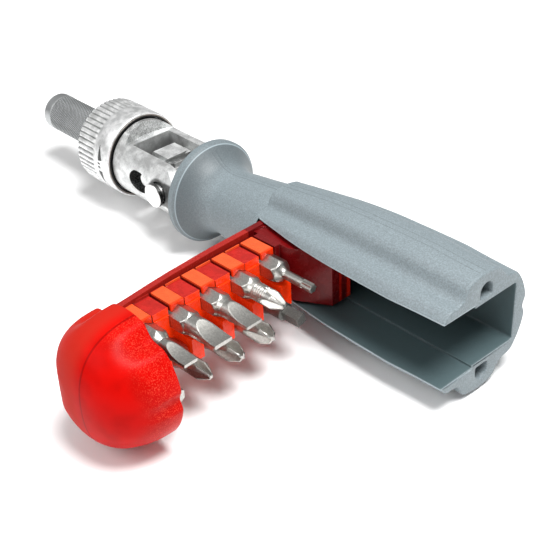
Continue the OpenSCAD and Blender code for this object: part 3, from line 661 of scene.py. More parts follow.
def turned_steel(name, colour, roughness, lines_mm=0.12, depth=0.012, darkened=None):
    """Turned metal: fine rings across the tool's axis, faint stains, and what darkened adds."""
    m = Finish(name, Metallic=1.0)
    lines = m.stretched(lines_mm, 1.0, 60.0, 60.0)
    stain = m.noise(2.5, 3.0)
    tone = m.mix(stain, shade(colour, 0.85), shade(colour, 1.1))
    if darkened:
        tone = darkened(m, tone, colour)
    return m.done(
        Base_Color=tone,
        Roughness=roughness + lines * 0.15 + stain * 0.08,
        Normal=m.bump(lines, depth, 0.5),
    )


def bit_steel(name, colour, roughness):
    """Forged bit steel, satin plated: fine lines along the bit, small specks and darker hollows."""
    m = Finish(name, Metallic=1.0)
    lines = m.stretched(0.25, 30.0, 1.0, 1.0)
    specks = m.noise(0.5, 4.0, 0.7)
    tone = m.mix(specks.step(0.35, 0.7), shade(colour, 0.78), shade(colour, 1.12))
    return m.done(
        Base_Color=tone,
        Roughness=roughness + lines * 0.18,
        Normal=m.bump(specks, 0.03, 0.4),
    )


def mark_paint():
    """Matt black paint of the ring's marks."""
    m = Finish("mark_paint", Roughness=0.5)
    return m.done(Base_Color=m.mix(m.noise(0.3), (0.012, 0.012, 0.012), (0.05, 0.05, 0.05)))


# Grip

GRIP_R = 18.6
FLUTE_DENTS = ((2.6, 57, 17), (2.6, -57, 17), (2.0, 123, 17), (2.0, -123, 17), (1.1, 180, 10))
SWELL_AT = np.array([0, 0.055, 0.15, 0.25, 0.345, 0.44, 0.54, 0.645, 0.745, 0.855, 0.96, 0.985, 1])
SWELL = np.array([1, 1.006, 1.022, 1.043, 1.0405, 1.035, 1.028, 1.006, 0.974, 0.92, 0.865, 0.845, 0.81])
NECK_X = np.array([71.4, 75.0, 80.3, 86.2, 92.1, 98.0, 101.58, 103.38, 104.91, 106.19, 107.34, 108.24, 108.7])
NECK_R = np.array([13.4, 13.4, 12.89, 12.1, 11.4, 10.7, 11.34, 12.1, 13.26, 14.41, 15.65, 16.6, 17.1])
SHOULDER_X = [72.6, 73.0, 73.4, 73.7, 73.95, 74.15, 74.3, 74.38, 74.4, 74.42]
SHOULDER_FALL = [1, 1, 0.999, 0.997, 0.993, 0.988, 0.978, 0.966, 0.945, 0.6]
SHOULDER_BLEND = 0.35
GUARD_EDGE = 0.35
LINE_HEIGHT = 0.10
LINE_TURN = 3.0
LINE_WIDTH = 0.7
LINE_X = (75.5, 108)
STEM_HOLE_R = 5.55
STEM_HOLE_X = 82.0

BAY_HALF_Z = 9.15
BAY_BACK_Y = -13.6
BAY_CORNER = 0.8
LIP_STEP_Y = 3.3
LIP_Z = 9.8
LIP_RISE = 0.3
LIP_LEN = 22.7
LIP_EDGE = 0.7
LIP_STEP_EDGE = 0.15
HINGE_REACH = 8.7

CORE_SIZE = (4.9, 4.5)
CORE_PLACE = (-0.9, 10.9)
CORE_CORNER = 0.6
CORE_POINTS = 32
CORE_DEPTHS = [0, 0.08, 0.25, 2.0, 30.0, 56.0]
CORE_GROWTH = [0.3, 0.1, 0.0, -0.02, -0.15, -0.3]


def apart(t, at):
    """Degrees from at to t, between -180 and 180."""
    return (t - at + 540) % 360 - 180


def grip_outline(t):
    """Radius of the grip over the angle t in degrees: a circle less five flutes.

    A flute is its depth times cos squared of the turn from its middle, zero past its half width."""
    radius = GRIP_R
    for depth, at, half in FLUTE_DENTS:
        turn = np.abs(apart(t, at))
        flute = np.cos(np.pi / 2 * np.minimum(turn / half, 1)) ** 2
        radius = radius - depth * np.where(turn < half, flute, 0)
    return radius


def on_outline(t, scale):
    """Side and height of the outline's points at the angles t in degrees."""
    radius = grip_outline(t) * scale
    return np.stack([radius * np.cos(np.radians(t)), radius * np.sin(np.radians(t))], -1)


def swell_at(x):
    """Scale of the outline at station x."""
    return eased(np.array([x]), SWELL_AT * BARREL_LEN, SWELL)[0]


def lip_angle(scale):
    """Angle in degrees at which the outline meets the bay's slanted lip."""
    t = np.linspace(20, 50, 1200)
    y, z = on_outline(t, scale).T
    return float(np.interp(0, z - (LIP_Z + LIP_RISE * (y - LIP_STEP_Y) / LIP_LEN), t))


def resampled(line, count):
    """The line as count points, evenly spaced along its length."""
    run = np.concatenate([[0], np.cumsum(np.linalg.norm(np.diff(line, axis=0), axis=1))])
    even = np.linspace(0, run[-1], count)
    return np.stack([np.interp(even, run, line[:, 0]), np.interp(even, run, line[:, 1])], -1)


def bay_section(x, count):
    """Upper half of the C-shaped section at station x: its outside, of count points, then lip and bay.

    The outside is the outline times the swell; every corner is turned by a short curve."""
    scale = swell_at(x)
    reach = HINGE_REACH**2 - (x - PIVOT[0]) ** 2
    step = min(LIP_STEP_Y, PIVOT[1] - math.sqrt(reach)) if reach > 0 else LIP_STEP_Y
    outer = on_outline(np.linspace(180, lip_angle(scale), count), scale)
    corner = outer[-1]
    clear = np.linalg.norm(outer - corner, axis=1) > LIP_EDGE
    lip = [outer[clear][-1], corner, (step, LIP_Z), (step, BAY_HALF_Z)]
    back = [(BAY_BACK_Y, BAY_HALF_Z), (BAY_BACK_Y, 0.0)]
    inside = rounded(lip + back, [0, LIP_EDGE, LIP_STEP_EDGE, LIP_STEP_EDGE, BAY_CORNER, 0])
    return resampled(outer[clear], count), inside[1:]


def mirrored_loop(half):
    """Closed loop from its upper half: the half, then its mirror image backwards."""
    low = half[::-1][1:-1] * np.array([1, -1])
    return np.concatenate([half, low])


def inset(loop, depth):
    """Closed loop moved inwards by depth along its normals."""
    ahead, back = np.roll(loop, -1, 0), np.roll(loop, 1, 0)
    tangent = ahead - back
    tangent /= np.linalg.norm(tangent, axis=1)[:, None] + 1e-12
    normal = np.stack([tangent[:, 1], -tangent[:, 0]], -1)
    area = np.sum(loop[:, 0] * ahead[:, 1] - ahead[:, 0] * loop[:, 1])
    return loop - np.sign(area) * normal * depth


def at_station(x, loop):
    """The loop's sides and heights with the station x before them."""
    return np.column_stack([np.full(len(loop), x), loop])


def barrel_loops(count, edge):
    """Closed sections of the barrel from the butt face to the bay's end, rounded at the butt by the edge."""
    butt_x = [0, 0.04, 0.13, 0.27, edge]
    xs = np.concatenate([butt_x, np.linspace(1.0, 70.5, 60), [71.4, 72.1, BAY_END_X]])
    depths = np.zeros(len(xs))
    depths[: len(butt_x)] = edge * np.array([1, 0.62, 0.33, 0.1, 0])
    loops = []
    for x, depth in zip(xs, depths):
        loop = mirrored_loop(np.concatenate(bay_section(x, count)))
        loops.append(at_station(x, inset(loop, depth) if depth > 0 else loop))
    return loops


def core_loop(grow):
    """D-shaped outline of a core hole in the upper lobe, grown outwards by grow."""
    width, height = CORE_SIZE[0] + 2 * grow, CORE_SIZE[1] + 2 * grow
    middle, floor = CORE_PLACE[0], CORE_PLACE[1] - grow
    a = np.linspace(0, math.pi, CORE_POINTS - 8)
    top_y = middle + width / 2 * np.cos(a)
    top_z = floor + height - width / 2 + width / 2 * np.sin(a)
    top = np.stack([top_y, top_z], -1)
    corners = [top[-1], (middle - width / 2, floor), (middle + width / 2, floor), top[0]]
    return np.concatenate([top, rounded(corners, [0, CORE_CORNER, CORE_CORNER, 0], steps=4)[1:-1]])


def core_tube(side):
    """A core hole's loops: a short flare at the mouth, then a tapering tube; side is 1 above and -1 below."""
    return [at_station(x, core_loop(grow) * np.array([1, side])) for x, grow in zip(CORE_DEPTHS, CORE_GROWTH)]


def front_stations():
    """Stations of the shoulder, the neck and the bell, with a round guard edge."""
    shoulder = SHOULDER_X + [74.5, 74.7, 75.0]
    neck = np.linspace(75.6, 108.5, 90)
    bell = [108.62, 108.7, 108.72, 108.8, 109.2, 110.0]
    edge = GUARD_X - GUARD_EDGE * (1 - np.sin(np.linspace(0, math.pi / 2, 6)))
    return np.concatenate([shoulder, neck, bell, edge])


def front_radius(x, t):
    """Radius of shoulder, neck and bell: the larger of the barrel's and the neck's, with two mould lines.

    The guard's edge is a quarter circle, and a mould line is exp(-(turn from it / its width)^2)."""
    barrel = swell_at(BAY_END_X) * grip_outline(t)[None, :] * np.interp(x, SHOULDER_X, SHOULDER_FALL)[:, None]
    past = np.maximum(np.minimum(x, GUARD_X) - (GUARD_X - GUARD_EDGE), 0)
    edge = GUARD_EDGE - np.sqrt(np.maximum(GUARD_EDGE**2 - past**2, 0))
    neck = (eased(x, NECK_X, NECK_R) - edge)[:, None] + np.zeros(barrel.shape)
    radius = -soft_least(-barrel, -neck, SHOULDER_BLEND)
    radius[0] = barrel[0]
    line = LINE_HEIGHT * np.exp(-(((np.abs(apart(t, 90)) - LINE_TURN) / LINE_WIDTH) ** 2))
    length = np.clip((x - LINE_X[0]) / 3, 0, 1) * np.clip((LINE_X[1] - x) / 4, 0, 1)
    return radius + line[None, :] * length[:, None]


def front_grid(t):
    """Closed front end of the grip: shoulder, neck and bell, then the guard's face and the stem's hole."""
    x = front_stations()
    face_x = [GUARD_X, GUARD_X, GUARD_X, GUARD_X - 0.2, STEM_HOLE_X]
    face_r = np.array([14.5, 9.0, 6.0, STEM_HOLE_R, STEM_HOLE_R])
    radius = np.concatenate([front_radius(x, t), np.repeat(face_r[:, None], len(t), 1)])
    return around(np.concatenate([x, face_x])[:, None], radius, np.radians(t)[None, :])


def fill_flat(bm, loops):
    """Triangles between one outer loop of vertex numbers and the loops inside it."""
    edges = []
    for loop in loops:
        corners = [bm.verts[k] for k in loop]
        for a, b in zip(corners, corners[1:] + corners[:1]):
            edges.append(bm.edges.get((a, b)) or bm.edges.new((a, b)))
    bmesh.ops.triangle_fill(bm, use_beauty=True, edges=edges)


def build_grip(settings):
    """One closed skin: barrel with its bay, butt face with two core holes, neck and bell guard."""
    count = settings.outline_points
    points = barrel_loops(count, settings.edge_radius / MM)
    size = len(points[0])
    faces = grid_faces(len(points), size)
    last = (len(points) - 1) * size
    base = len(points) * size
    butt = [list(range(size))]
    for side in (1, -1):
        points += core_tube(side)
        faces += grid_faces(len(CORE_DEPTHS), CORE_POINTS, start=base)
        butt.append(list(range(base, base + CORE_POINTS)))
        base += CORE_POINTS * len(CORE_DEPTHS)
        faces.append(list(range(base - CORE_POINTS, base)))

    outside = bay_section(BAY_END_X, count)[0]
    upper = np.degrees(np.arctan2(outside[:, 1], outside[:, 0]))
    mouth = np.linspace(upper[-1], -upper[-1], 31)[1:-1]
    grid = front_grid(np.concatenate([upper, mouth, -upper[::-1]])[:-1])
    rows, cols = grid.shape[:2]
    points.append(grid.reshape(-1, 3))
    faces += grid_faces(rows, cols, start=base)
    faces.append(list(range(base + (rows - 1) * cols, base + rows * cols)))

    bay = list(range(last + count - 1, last + size - count + 2))
    arc = list(range(base + count - 1, base + count + len(mouth) + 1))
    mesh = bpy.data.meshes.new("grip")
    mesh.from_pydata(row(np.concatenate(points)).tolist(), [], faces)
    bm = bmesh.new()
    bm.from_mesh(mesh)
    bm.verts.ensure_lookup_table()
    fill_flat(bm, butt)
    fill_flat(bm, [bay + arc[::-1]])
    bm.to_mesh(mesh)
    bm.free()
    clean_mesh(mesh)
    return finish_piece("grip", mesh, "handle", ["handle"], 40)


# Magazine

CAP_MOUTH_X = -0.3
CAP_DEPTH = 19.5
CAP_WALL = 2.3
CAP_POWER = 2.6
CAP_BLEND = 1.2
CAP_LINE_HEIGHT = 0.10
CAP_LINE_WIDTH = 0.4
CAP_POLE = 0.9995
FLUTES_FADE = (0.08, 0.62)
SPINE_FLAT = 15.2
SPINE_CROWN = 0.6
SPINE_TURN = 60


def cap_outline(t, depth=1.0):
    """Radius of the end cap: the grip's outline, flutes scaled by depth, nearly flat on the spine's side.

    The flat is (its distance - its crown times tan^2) / cos of the turn from the spine."""
    fluted = GRIP_R - (GRIP_R - grip_outline(t)) * depth
    degrees = np.abs(apart(t, 0))
    turn = np.radians(np.minimum(degrees, SPINE_TURN))
    flat = (SPINE_FLAT - SPINE_CROWN * np.tan(turn) ** 2) / np.cos(turn)
    return soft_least(fluted, np.where(degrees < SPINE_TURN, flat, UNCUT), CAP_BLEND)


def build_cap(count):
    """End cap: outside, rim and inside of an outline that shrinks toward the pole as (1 - u^p)^(1/p)."""
    t = np.linspace(0, 360, count, endpoint=False)
    u = np.sin(np.linspace(0, math.pi / 2, 64))
    u[-1] = CAP_POLE
    shrink = ((1 - u**CAP_POWER) ** (1 / CAP_POWER))[:, None]
    fade = np.clip((u - FLUTES_FADE[0]) / FLUTES_FADE[1], 0, 1)
    flutes_left = (1 - fade * fade * (3 - 2 * fade))[:, None]
    shell = cap_outline(t[None, :], flutes_left)
    outside = shrink * shell
    side = outside * np.cos(np.radians(t))[None, :]
    line = CAP_LINE_HEIGHT * np.exp(-(((side - CAP_LINE_Y) / CAP_LINE_WIDTH) ** 2))
    outside = outside + line * (shrink > 0.2)
    inner = cap_outline(t) - CAP_WALL
    outer = shell[0]
    rim_x = [-0.75, -0.42, CAP_MOUTH_X, CAP_MOUTH_X, -0.42, -0.75]
    rim_r = [outer, outer - 0.08, outer - 0.4, inner + 0.4, inner + 0.08, inner]
    x_out = CAP_MOUTH_X - CAP_DEPTH * u
    x_in = CAP_MOUTH_X - (CAP_DEPTH - CAP_WALL) * u
    x = np.concatenate([x_out[::-1][:-1], rim_x, x_in[1:]])
    radius = np.concatenate([outside[::-1][:-1], rim_r, (shrink * inner[None, :])[1:]])
    points = row(swung(around(x[:, None], radius, np.radians(t)[None, :])))
    faces = grid_faces(len(x), count) + end_faces(len(x), count)
    return mesh_piece("magazine_cap", points, faces, "magazine", ["bit_magazine"], 50)


def build_carrier(bevel):
    """Bit block, spine and pivot end: the CAD magazine cut off just ahead of the cap's rim, edges rounded."""
    mesh = NODES["bit_magazine"].data.copy()
    mesh.materials.clear()
    bm = bmesh.new()
    bm.from_mesh(mesh)
    bmesh.ops.remove_doubles(bm, verts=bm.verts, dist=CARRIER_MERGE)
    at, ahead = row(swung([[CAP_MOUTH_X + 0.01, 0.0, 0.0], [CAP_MOUTH_X + 1.01, 0.0, 0.0]]))
    everything = list(bm.verts) + list(bm.edges) + list(bm.faces)
    cut = bmesh.ops.bisect_plane(bm, geom=everything, plane_co=at, plane_no=ahead - at, clear_inner=True)
    rim = [e for e in cut["geom_cut"] if isinstance(e, bmesh.types.BMEdge)]
    bmesh.ops.triangle_fill(bm, use_beauty=True, edges=rim)
    bmesh.ops.dissolve_limit(bm, angle_limit=FLAT_ANGLE, verts=bm.verts, edges=bm.edges)
    bmesh.ops.recalc_face_normals(bm, faces=bm.faces)
    bm.to_mesh(mesh)
    bm.free()
    piece = finish_piece("magazine_carrier", mesh, "magazine", ["bit_magazine"], 30)
    add_bevel(piece, bevel, 35)
    return piece


# Bits

BIT_FLATS = 6.35
BIT_LEN = 25.0
HEX_R = BIT_FLATS / math.sqrt(3)
SHANK_END = 13.0
CONE_R = 3.0
ROW_HEIGHT = 4.02
POCKET_Y = 12.1
PITCH = 11.0
POINT_X = 14.2
FLUTES_END = 24.6
GROUND_END = 24.2
SHARP = 1e-6
RINGED_LEN = (14.6, 19.1)
RINGED_PITCH = 0.75


def hexagon(theta, flats):
    """Radius of a hexagon with corners at 30 degrees and every 60 after: half the flats over the cosine."""
    turn = (theta + math.pi / 6) % (math.pi / 3) - math.pi / 6
    return flats / 2 / np.cos(turn)


def shank_radius(s, theta, neck):
    """Hexagonal shank with chamfered ends, then a hollow cone down to the round neck."""
    chamfer = np.interp(s, [0, 0.6, 11.6, SHANK_END], [HEX_R - 0.6, HEX_R + 0.05, HEX_R + 0.05, CONE_R])
    u = np.clip((s - SHANK_END) / 2.0, 0, 1)
    cone = neck + (CONE_R - neck) * (1 - u) ** 2.0
    return np.where(s < SHANK_END, soft_least(hexagon(theta, BIT_FLATS), chamfer, 0.12), cone)


def cross_tip(s, theta, across, point, flute, cone, web):
    """Cross point: a round bar that ends in a cone, milled by four flutes between four wings.

    In the quarter between two wings the radius is at most half the web over the lesser of sine and cosine."""
    milled = np.clip((s - flute) / (FLUTES_END - flute), 0, 1)
    tapered = np.clip((s - cone) / (BIT_LEN - cone), 0, 1)
    bar = across / 2 * (1 - tapered * (1 - point)) * np.interp(s, [24.7, BIT_LEN], [1.0, 0.75], left=1.0)
    half = (0.375 + (web / 2 - 0.375) * milled**0.42) * across
    turn = (theta + math.pi / 4) % (math.pi / 2)
    least = np.minimum(np.abs(np.cos(turn)), np.abs(np.sin(turn))) + SHARP
    return soft_least(bar, np.where(s < flute, UNCUT, half / least), 0.1)


def blade_tip(s, theta, width, thick, start):
    """Flat blade: a round bar of the width between two hollow-ground faces that close in to the thickness."""
    ground = np.clip((s - start) / (GROUND_END - start), 0, 1)
    half = np.where(s < start, UNCUT, thick / 2 + (width / 2 - thick / 2) * (1 - ground) ** 2.0)
    bar = width / 2 * np.interp(s, [24.75, BIT_LEN], [1.0, 0.95], left=1.0)
    return soft_least(bar, half / (np.abs(np.sin(theta)) + SHARP), 0.12)


def star_tip(s, theta, across, start):
    """Six-lobed point: the mean radius with a cosine of six turns, and a small end chamfer."""
    lobes = across / 2 * (0.87 + 0.13 * np.cos(6 * theta))
    end = np.interp(s, [24.6, BIT_LEN], [UNCUT, across / 2 - 0.35], left=UNCUT)
    return np.where(s < start, UNCUT, np.minimum(lobes, end))


def prism_tip(s, theta, across, sides, start):
    """Prism point: half of across over its corners, with a small end chamfer."""
    step = FULL_TURN / sides
    turn = (theta + math.pi / 6) % step - step / 2
    prism = across / 2 * math.cos(step / 2) / np.cos(turn)
    end = np.interp(s, [24.5, BIT_LEN], [UNCUT, across / 2 - 0.5], left=UNCUT)
    return np.where(s < start, UNCUT, np.minimum(prism, end))


# Each bit's tip, neck radius and shape, from the cap toward the pivot
UPPER_ROW = {
    "bit_slotted_narrow": (blade_tip, 2.25, dict(width=4.5, thick=0.9, start=16.4)),
    "bit_slotted_wide": (blade_tip, 3.0, dict(width=6.2, thick=1.1, start=15.6)),
    "bit_slotted_medium": (blade_tip, 2.7, dict(width=5.4, thick=0.9, start=15.6)),
    "bit_pozi_ringed": (cross_tip, 2.6, dict(across=5.2, point=0.38, flute=17.6, cone=21.2, web=0.11)),
    "bit_torx": (star_tip, 1.4, dict(across=2.9, start=21.4)),
}
LOWER_ROW = {
    "bit_hex_key": (prism_tip, 2.6, dict(across=4.6, sides=6, start=19.0)),
    "bit_phillips_small": (cross_tip, 2.5, dict(across=5.0, point=0.32, flute=17.0, cone=21.2, web=0.1)),
    "bit_phillips_medium": (cross_tip, 2.9, dict(across=5.8, point=0.42, flute=16.8, cone=21.4, web=0.1)),
    "bit_phillips_large": (cross_tip, 3.0, dict(across=6.2, point=0.5, flute=16.6, cone=21.6, web=0.11)),
    "bit_square": (prism_tip, 2.6, dict(across=4.2, sides=4, start=19.0)),
}
BIT_ROWS = ((7.5, 1, UPPER_ROW), (2.5, -1, LOWER_ROW))
RINGED_BIT = "bit_pozi_ringed"
DARK_BIT = "bit_square"


def bit_stations():
    """Distances from the shank's end: few along the shank, many along the tip."""
    shank = np.arange(1, 11, 2.0)
    tip = np.arange(11.2, 25.01, 0.14)
    return np.unique(np.concatenate([[0, 0.3, 0.6], shank, tip, [12.99, 13.01, 24.7, 24.85, BIT_LEN]]))


def ring_grooves(s, radius):
    """Fine rings cut round the ringed bit's neck: a cosine along its length."""
    wave = 0.5 + 0.5 * np.cos(FULL_TURN * (s - RINGED_LEN[0]) / RINGED_PITCH)
    ringed = (s > RINGED_LEN[0]) & (s < RINGED_LEN[1]) & (radius > 2.5)
    return np.where(ringed, 0.14 * wave - 0.07, 0)


def build_bit(name, x, side, bit, count):
    """One bit as radius(s, angle) along its own axis, stood in its pocket and swung out with the magazine.

    Its own axes lie along the row, up, and from shank to tip along -Y of the closed magazine."""
    tip, neck, shape = bit
    s, theta = bit_stations()[:, None], turn_angles(count)[None, :]
    radius = np.minimum(shank_radius(s, theta, neck), np.where(s < POINT_X, UNCUT, tip(s, theta, **shape)))
    if name == RINGED_BIT:
        radius = radius + ring_grooves(s, radius)
    along = x + radius * np.cos(theta)
    height = side * ROW_HEIGHT + radius * np.sin(theta)
    placed = np.stack([along, np.broadcast_to(POCKET_Y - s, radius.shape), height], -1)
    faces = grid_faces(len(s), count) + end_faces(len(s), count)
    slot = "bit_steel_dark" if name == DARK_BIT else "bit_steel"
    return mesh_piece(name + "_piece", row(swung(placed)), faces, name, [name], 32)


# Head

RING_R = 15.1
RING_BORE_R = 11.6
FLUTE_DEPTH = 0.62
FLUTE_POINTS = 14
FLUTE_START = math.radians(24.6)
GEAR_X = (152.3, 159.7)
GEAR_ROOT_R = 5.9
GEAR_TOOTH = 0.7
GEAR_TEETH = 24
JOURNAL_X = 147.9
JOURNAL_R = 3.5
NECK_BAR_R = 5.95
HOLDER_X = 164.6
SOCKET_FLATS = 6.55
SOCKET_END_X = 186.5
KNURL_TURNS = 48
BALL_STOPS = (160, 180, 200)
BALL_R = 1.25
BALL_MIDDLE_R = 10.75
BALL_AHEAD = 10.0
DIMPLE_ROWS = (1.1, 0.85, 0.6, 0.3, 0.0, -0.3, -0.6, -0.85, -1.1)


def triangle_wave(a):
    """0 at the middle of each turn of a, 1 at its ends."""
    return np.abs((a % 1.0) * 2 - 1)


def knurled_radius(x, theta, depth):
    """Bar less two sets of helical grooves: depth times the greater of two triangle waves, squared."""
    a = theta[None, :] / FULL_TURN * KNURL_TURNS
    b = (x[:, None] - KNURL_X[0]) / (FULL_TURN * HOLDER_R / KNURL_TURNS)
    grooves = np.maximum(triangle_wave(a + b), triangle_wave(a - b)) ** 2
    fade = np.clip(np.minimum(x - KNURL_X[0], KNURL_X[1] - x) / 0.5, 0, 1)[:, None]
    return HOLDER_R - depth * grooves * fade


def build_holder(settings):
    """Bit holder in one skin: journal, ratchet teeth, neck, knurled bar, hex socket."""
    theta = turn_angles(settings.knurl_points)
    knurl_x = np.linspace(*KNURL_X, settings.knurl_rows)
    teeth = GEAR_ROOT_R + GEAR_TOOTH * (1 - triangle_wave(theta / FULL_TURN * GEAR_TEETH))
    socket = hexagon(theta, SOCKET_FLATS)
    rear = [
        (JOURNAL_X, JOURNAL_R - 0.2),
        (JOURNAL_X + 0.2, JOURNAL_R),
        (GEAR_X[0], JOURNAL_R),
        (GEAR_X[0], teeth),
        (GEAR_X[1], teeth),
        (GEAR_X[1], NECK_BAR_R),
        (HOLDER_X, NECK_BAR_R),
        (HOLDER_X, HOLDER_R - 0.5),
        (HOLDER_X + 0.5, HOLDER_R),
        (HOLDER_X + 0.7, HOLDER_R),
    ]
    front = [
        (KNURL_X[1] + 0.2, HOLDER_R),
        (TIP_X - 0.5, HOLDER_R),
        (TIP_X, HOLDER_R - 0.5),
        (TIP_X, socket + 0.55),
        (TIP_X - 0.8, socket),
        (SOCKET_END_X, socket),
        (SOCKET_END_X, 2.4),
        (SOCKET_END_X - 3.0, 2.4),
    ]
    x = np.concatenate([[place for place, _ in rear], knurl_x, [place for place, _ in front]])
    knurl = knurled_radius(knurl_x, theta, settings.knurl_depth / MM)
    plain = [[radius + 0 * theta for _, radius in part] for part in (rear, front)]
    radius = np.concatenate([plain[0], knurl, plain[1]])
    return closed_turn("holder", x, radius, "spindle", ["bit_holder"], 38)


def fluted(theta, count, depth):
    """Broad ribs between narrow grooves: minus the depth times a wave of count turns, cubed."""
    wave = 0.5 + 0.5 * np.cos(count * (theta - FLUTE_START))
    return -depth * wave**3.0


def dimpled(theta, ahead):
    """Radius of the ring's front bore with the ball's dimples, at ahead millimetres from their middle."""
    radius = np.full(len(theta), RING_BORE_R)
    for stop in BALL_STOPS:
        turn = theta - math.radians(stop)
        room = BALL_R**2 - ahead**2 - (BALL_MIDDLE_R * np.sin(turn)) ** 2
        bulge = BALL_MIDDLE_R * np.cos(turn) + np.sqrt(np.maximum(room, 0))
        radius = np.where((room > 0) & (np.cos(turn) > 0), np.maximum(radius, bulge), radius)
    return radius


def build_ring(flute_count):
    """Selector ring: a smooth band behind, a fluted grip ahead, and its stepped bore with dimples."""
    theta = turn_angles(flute_count * FLUTE_POINTS)
    flutes = fluted(theta, flute_count, FLUTE_DEPTH)
    dimples = [(BALL_AHEAD + ahead, dimpled(theta, ahead)) for ahead in DIMPLE_ROWS]
    rear_lip = [(0.0, 13.6), (0.0, 14.05), (0.12, 14.15), (0.12, 14.4), (0.0, 14.5), (0.0, 14.75)]
    rear_edge = [(0.1, 14.98), (0.32, RING_R), (4.0, RING_R)]
    band_end = [(7.3, RING_R), (7.55, 15.07), (7.8, 14.98), (8.2, 14.9)]
    grip = [
        (8.6, 14.9 + flutes * 0.1),
        (9.0, 14.98 + flutes * 0.4),
        (9.4, 15.06 + flutes * 0.8),
        (9.9, RING_R + flutes),
        (13.5, RING_R + flutes),
        (17.2, 15.06 + flutes),
        (17.75, 14.95 + flutes * 0.95),
        (18.1, 14.75 + flutes * 0.8),
        (18.3, 14.35 + flutes * 0.45),
    ]
    front_face = [(18.3, 13.05), (16.9, 13.0), (16.9, RING_BORE_R)]
    rear_bore = [(4.1, RING_BORE_R), (4.1, 13.54), (0.15, 13.54)]
    profile = rear_lip + rear_edge + band_end + grip + front_face + dimples + rear_bore
    x = RING_X + np.array([place for place, _ in profile])
    radius = np.array([radius + 0 * theta for _, radius in profile])
    return ring_turn("ring", x, radius, "selector_ring", ["selector_ring"], 40)


# Corners of the ring's marks: station, then degrees
RING_MARKS = {
    "mark_upper": [(151.35, 28.0), (149.5, 8.0), (151.6, 6.6), (151.42, 28.0)],
    "mark_first": [(150.6, 4.0), (150.6, 1.6), (151.9, 1.6), (151.9, 4.0)],
    "mark_second": [(150.6, -1.2), (150.6, -3.6), (151.9, -3.6), (151.9, -1.2)],
    "mark_lower": [(149.9, -8.2), (151.3, -28.5), (151.4, -28.5), (152.0, -8.2)],
}


def build_mark(name, corners):
    """Thin mark wrapped on the ring's band: its corners are filled on a grid, just proud of the band."""
    steps = 10
    a, b, c, d = [np.array(corner, float) for corner in corners]
    u = np.linspace(0, 1, steps)[:, None, None]
    v = np.linspace(0, 1, steps)[None, :, None]
    flat = (1 - u) * ((1 - v) * a + v * b) + u * ((1 - v) * d + v * c)
    x, turn = flat[..., 0], np.radians(flat[..., 1])
    layers = [around(x, radius, turn).reshape(-1, 3) for radius in (RING_R + 0.03, RING_R - 0.08)]
    count = steps * steps
    grid = grid_faces(steps, steps, wrap_cols=False)
    rim = list(range(steps)) + [i * steps + steps - 1 for i in range(1, steps)]
    rim += [count - 1 - i for i in range(1, steps)] + [i * steps for i in range(steps - 2, 0, -1)]
    faces = grid + [[corner + count for corner in face[::-1]] for face in grid]
    faces += [[p, q, q + count, p + count] for p, q in zip(rim, rim[1:] + rim[:1])]
    return mesh_piece(name, row(np.concatenate(layers)), faces, "selector_ring", (), 30)


# Settings


def colour_setting(name, description, default):
    return FloatVectorProperty(
        name=name, description=description, default=default, subtype="COLOR", size=3, min=0, max=1
    )


def length_setting(name, description, default, low, high):
    return FloatProperty(
        name=name, description=description, default=default, unit="LENGTH", min=low, max=high
    )


def count_setting(name, description, default, low, high, step=1):
    return IntProperty(name=name, description=description, default=default, min=low, max=high, step=step)


def power_setting(name, description, default):
    return FloatProperty(name=name, description=description, default=default, min=0)


def share_setting(name, description, default):
    return FloatProperty(name=name, description=description, default=default, min=0, max=1)


class ScrewdriverGrip(bpy.types.PropertyGroup):
    colour: colour_setting("Grip colour", "Colour of the grey plastic", (0.175, 0.21, 0.225))
    roughness: share_setting("Grip roughness", "Roughness of the grip's surface", 0.42)
    edge_radius: length_setting("Butt edge", "Rounding of the butt's edges", 0.0005, 0.0002, 0.0009)
    outline_points: count_setting("Outline points", "Points on half of the grip's outline", 110, 40, 200)


class ScrewdriverMagazine(bpy.types.PropertyGroup):
    colour: colour_setting("Magazine colour", "Colour of thin red plastic", (0.47, 0.002, 0.0008))
    haze: colour_setting("Haze", "Colour of the cap's hazy side", (0.40, 0.018, 0.010))
    cap_points: count_setting("Cap points", "Points around the end cap", 300, 72, 360)
    edge_radius: length_setting("Edge", "Rounding of the bit block's edges", 0.00018, 0, 0.0005)


class ScrewdriverBits(bpy.types.PropertyGroup):
    colour: colour_setting("Bit colour", "Colour of the bits' steel", (0.50, 0.49, 0.46))
    points: count_setting("Bit points", "Points around a bit", 120, 48, 192)


class ScrewdriverHead(bpy.types.PropertyGroup):
    zinc: colour_setting("Zinc colour", "Colour of the castings", (0.79, 0.80, 0.795))
    holder: colour_setting("Holder colour", "Colour of the bit holder", (0.50, 0.515, 0.52))
    knurl_depth: length_setting("Knurl depth", "Depth of the holder's knurl", 0.0003, 0, 0.0006)
    knurl_rows: count_setting("Knurl rows", "Rows of points along the knurl", 232, 60, 300)
    knurl_points: count_setting("Knurl points", "Points around the knurl", 336, 112, 560, 56)
    flute_count: count_setting("Ring flutes", "Flutes around the selector ring", 50, 20, 60)


class ScrewdriverStage(bpy.types.PropertyGroup):
    floor: colour_setting("Floor colour", "Colour of the floor", (0.93, 0.93, 0.93))
    key: power_setting("Key light", "Power of the key light in watts", 9.5)
    fill: power_setting("Fill light", "Power of the fill light in watts", 3.0)
    world: share_setting("Sky", "Strength of the even light", 0.45)


# Stage

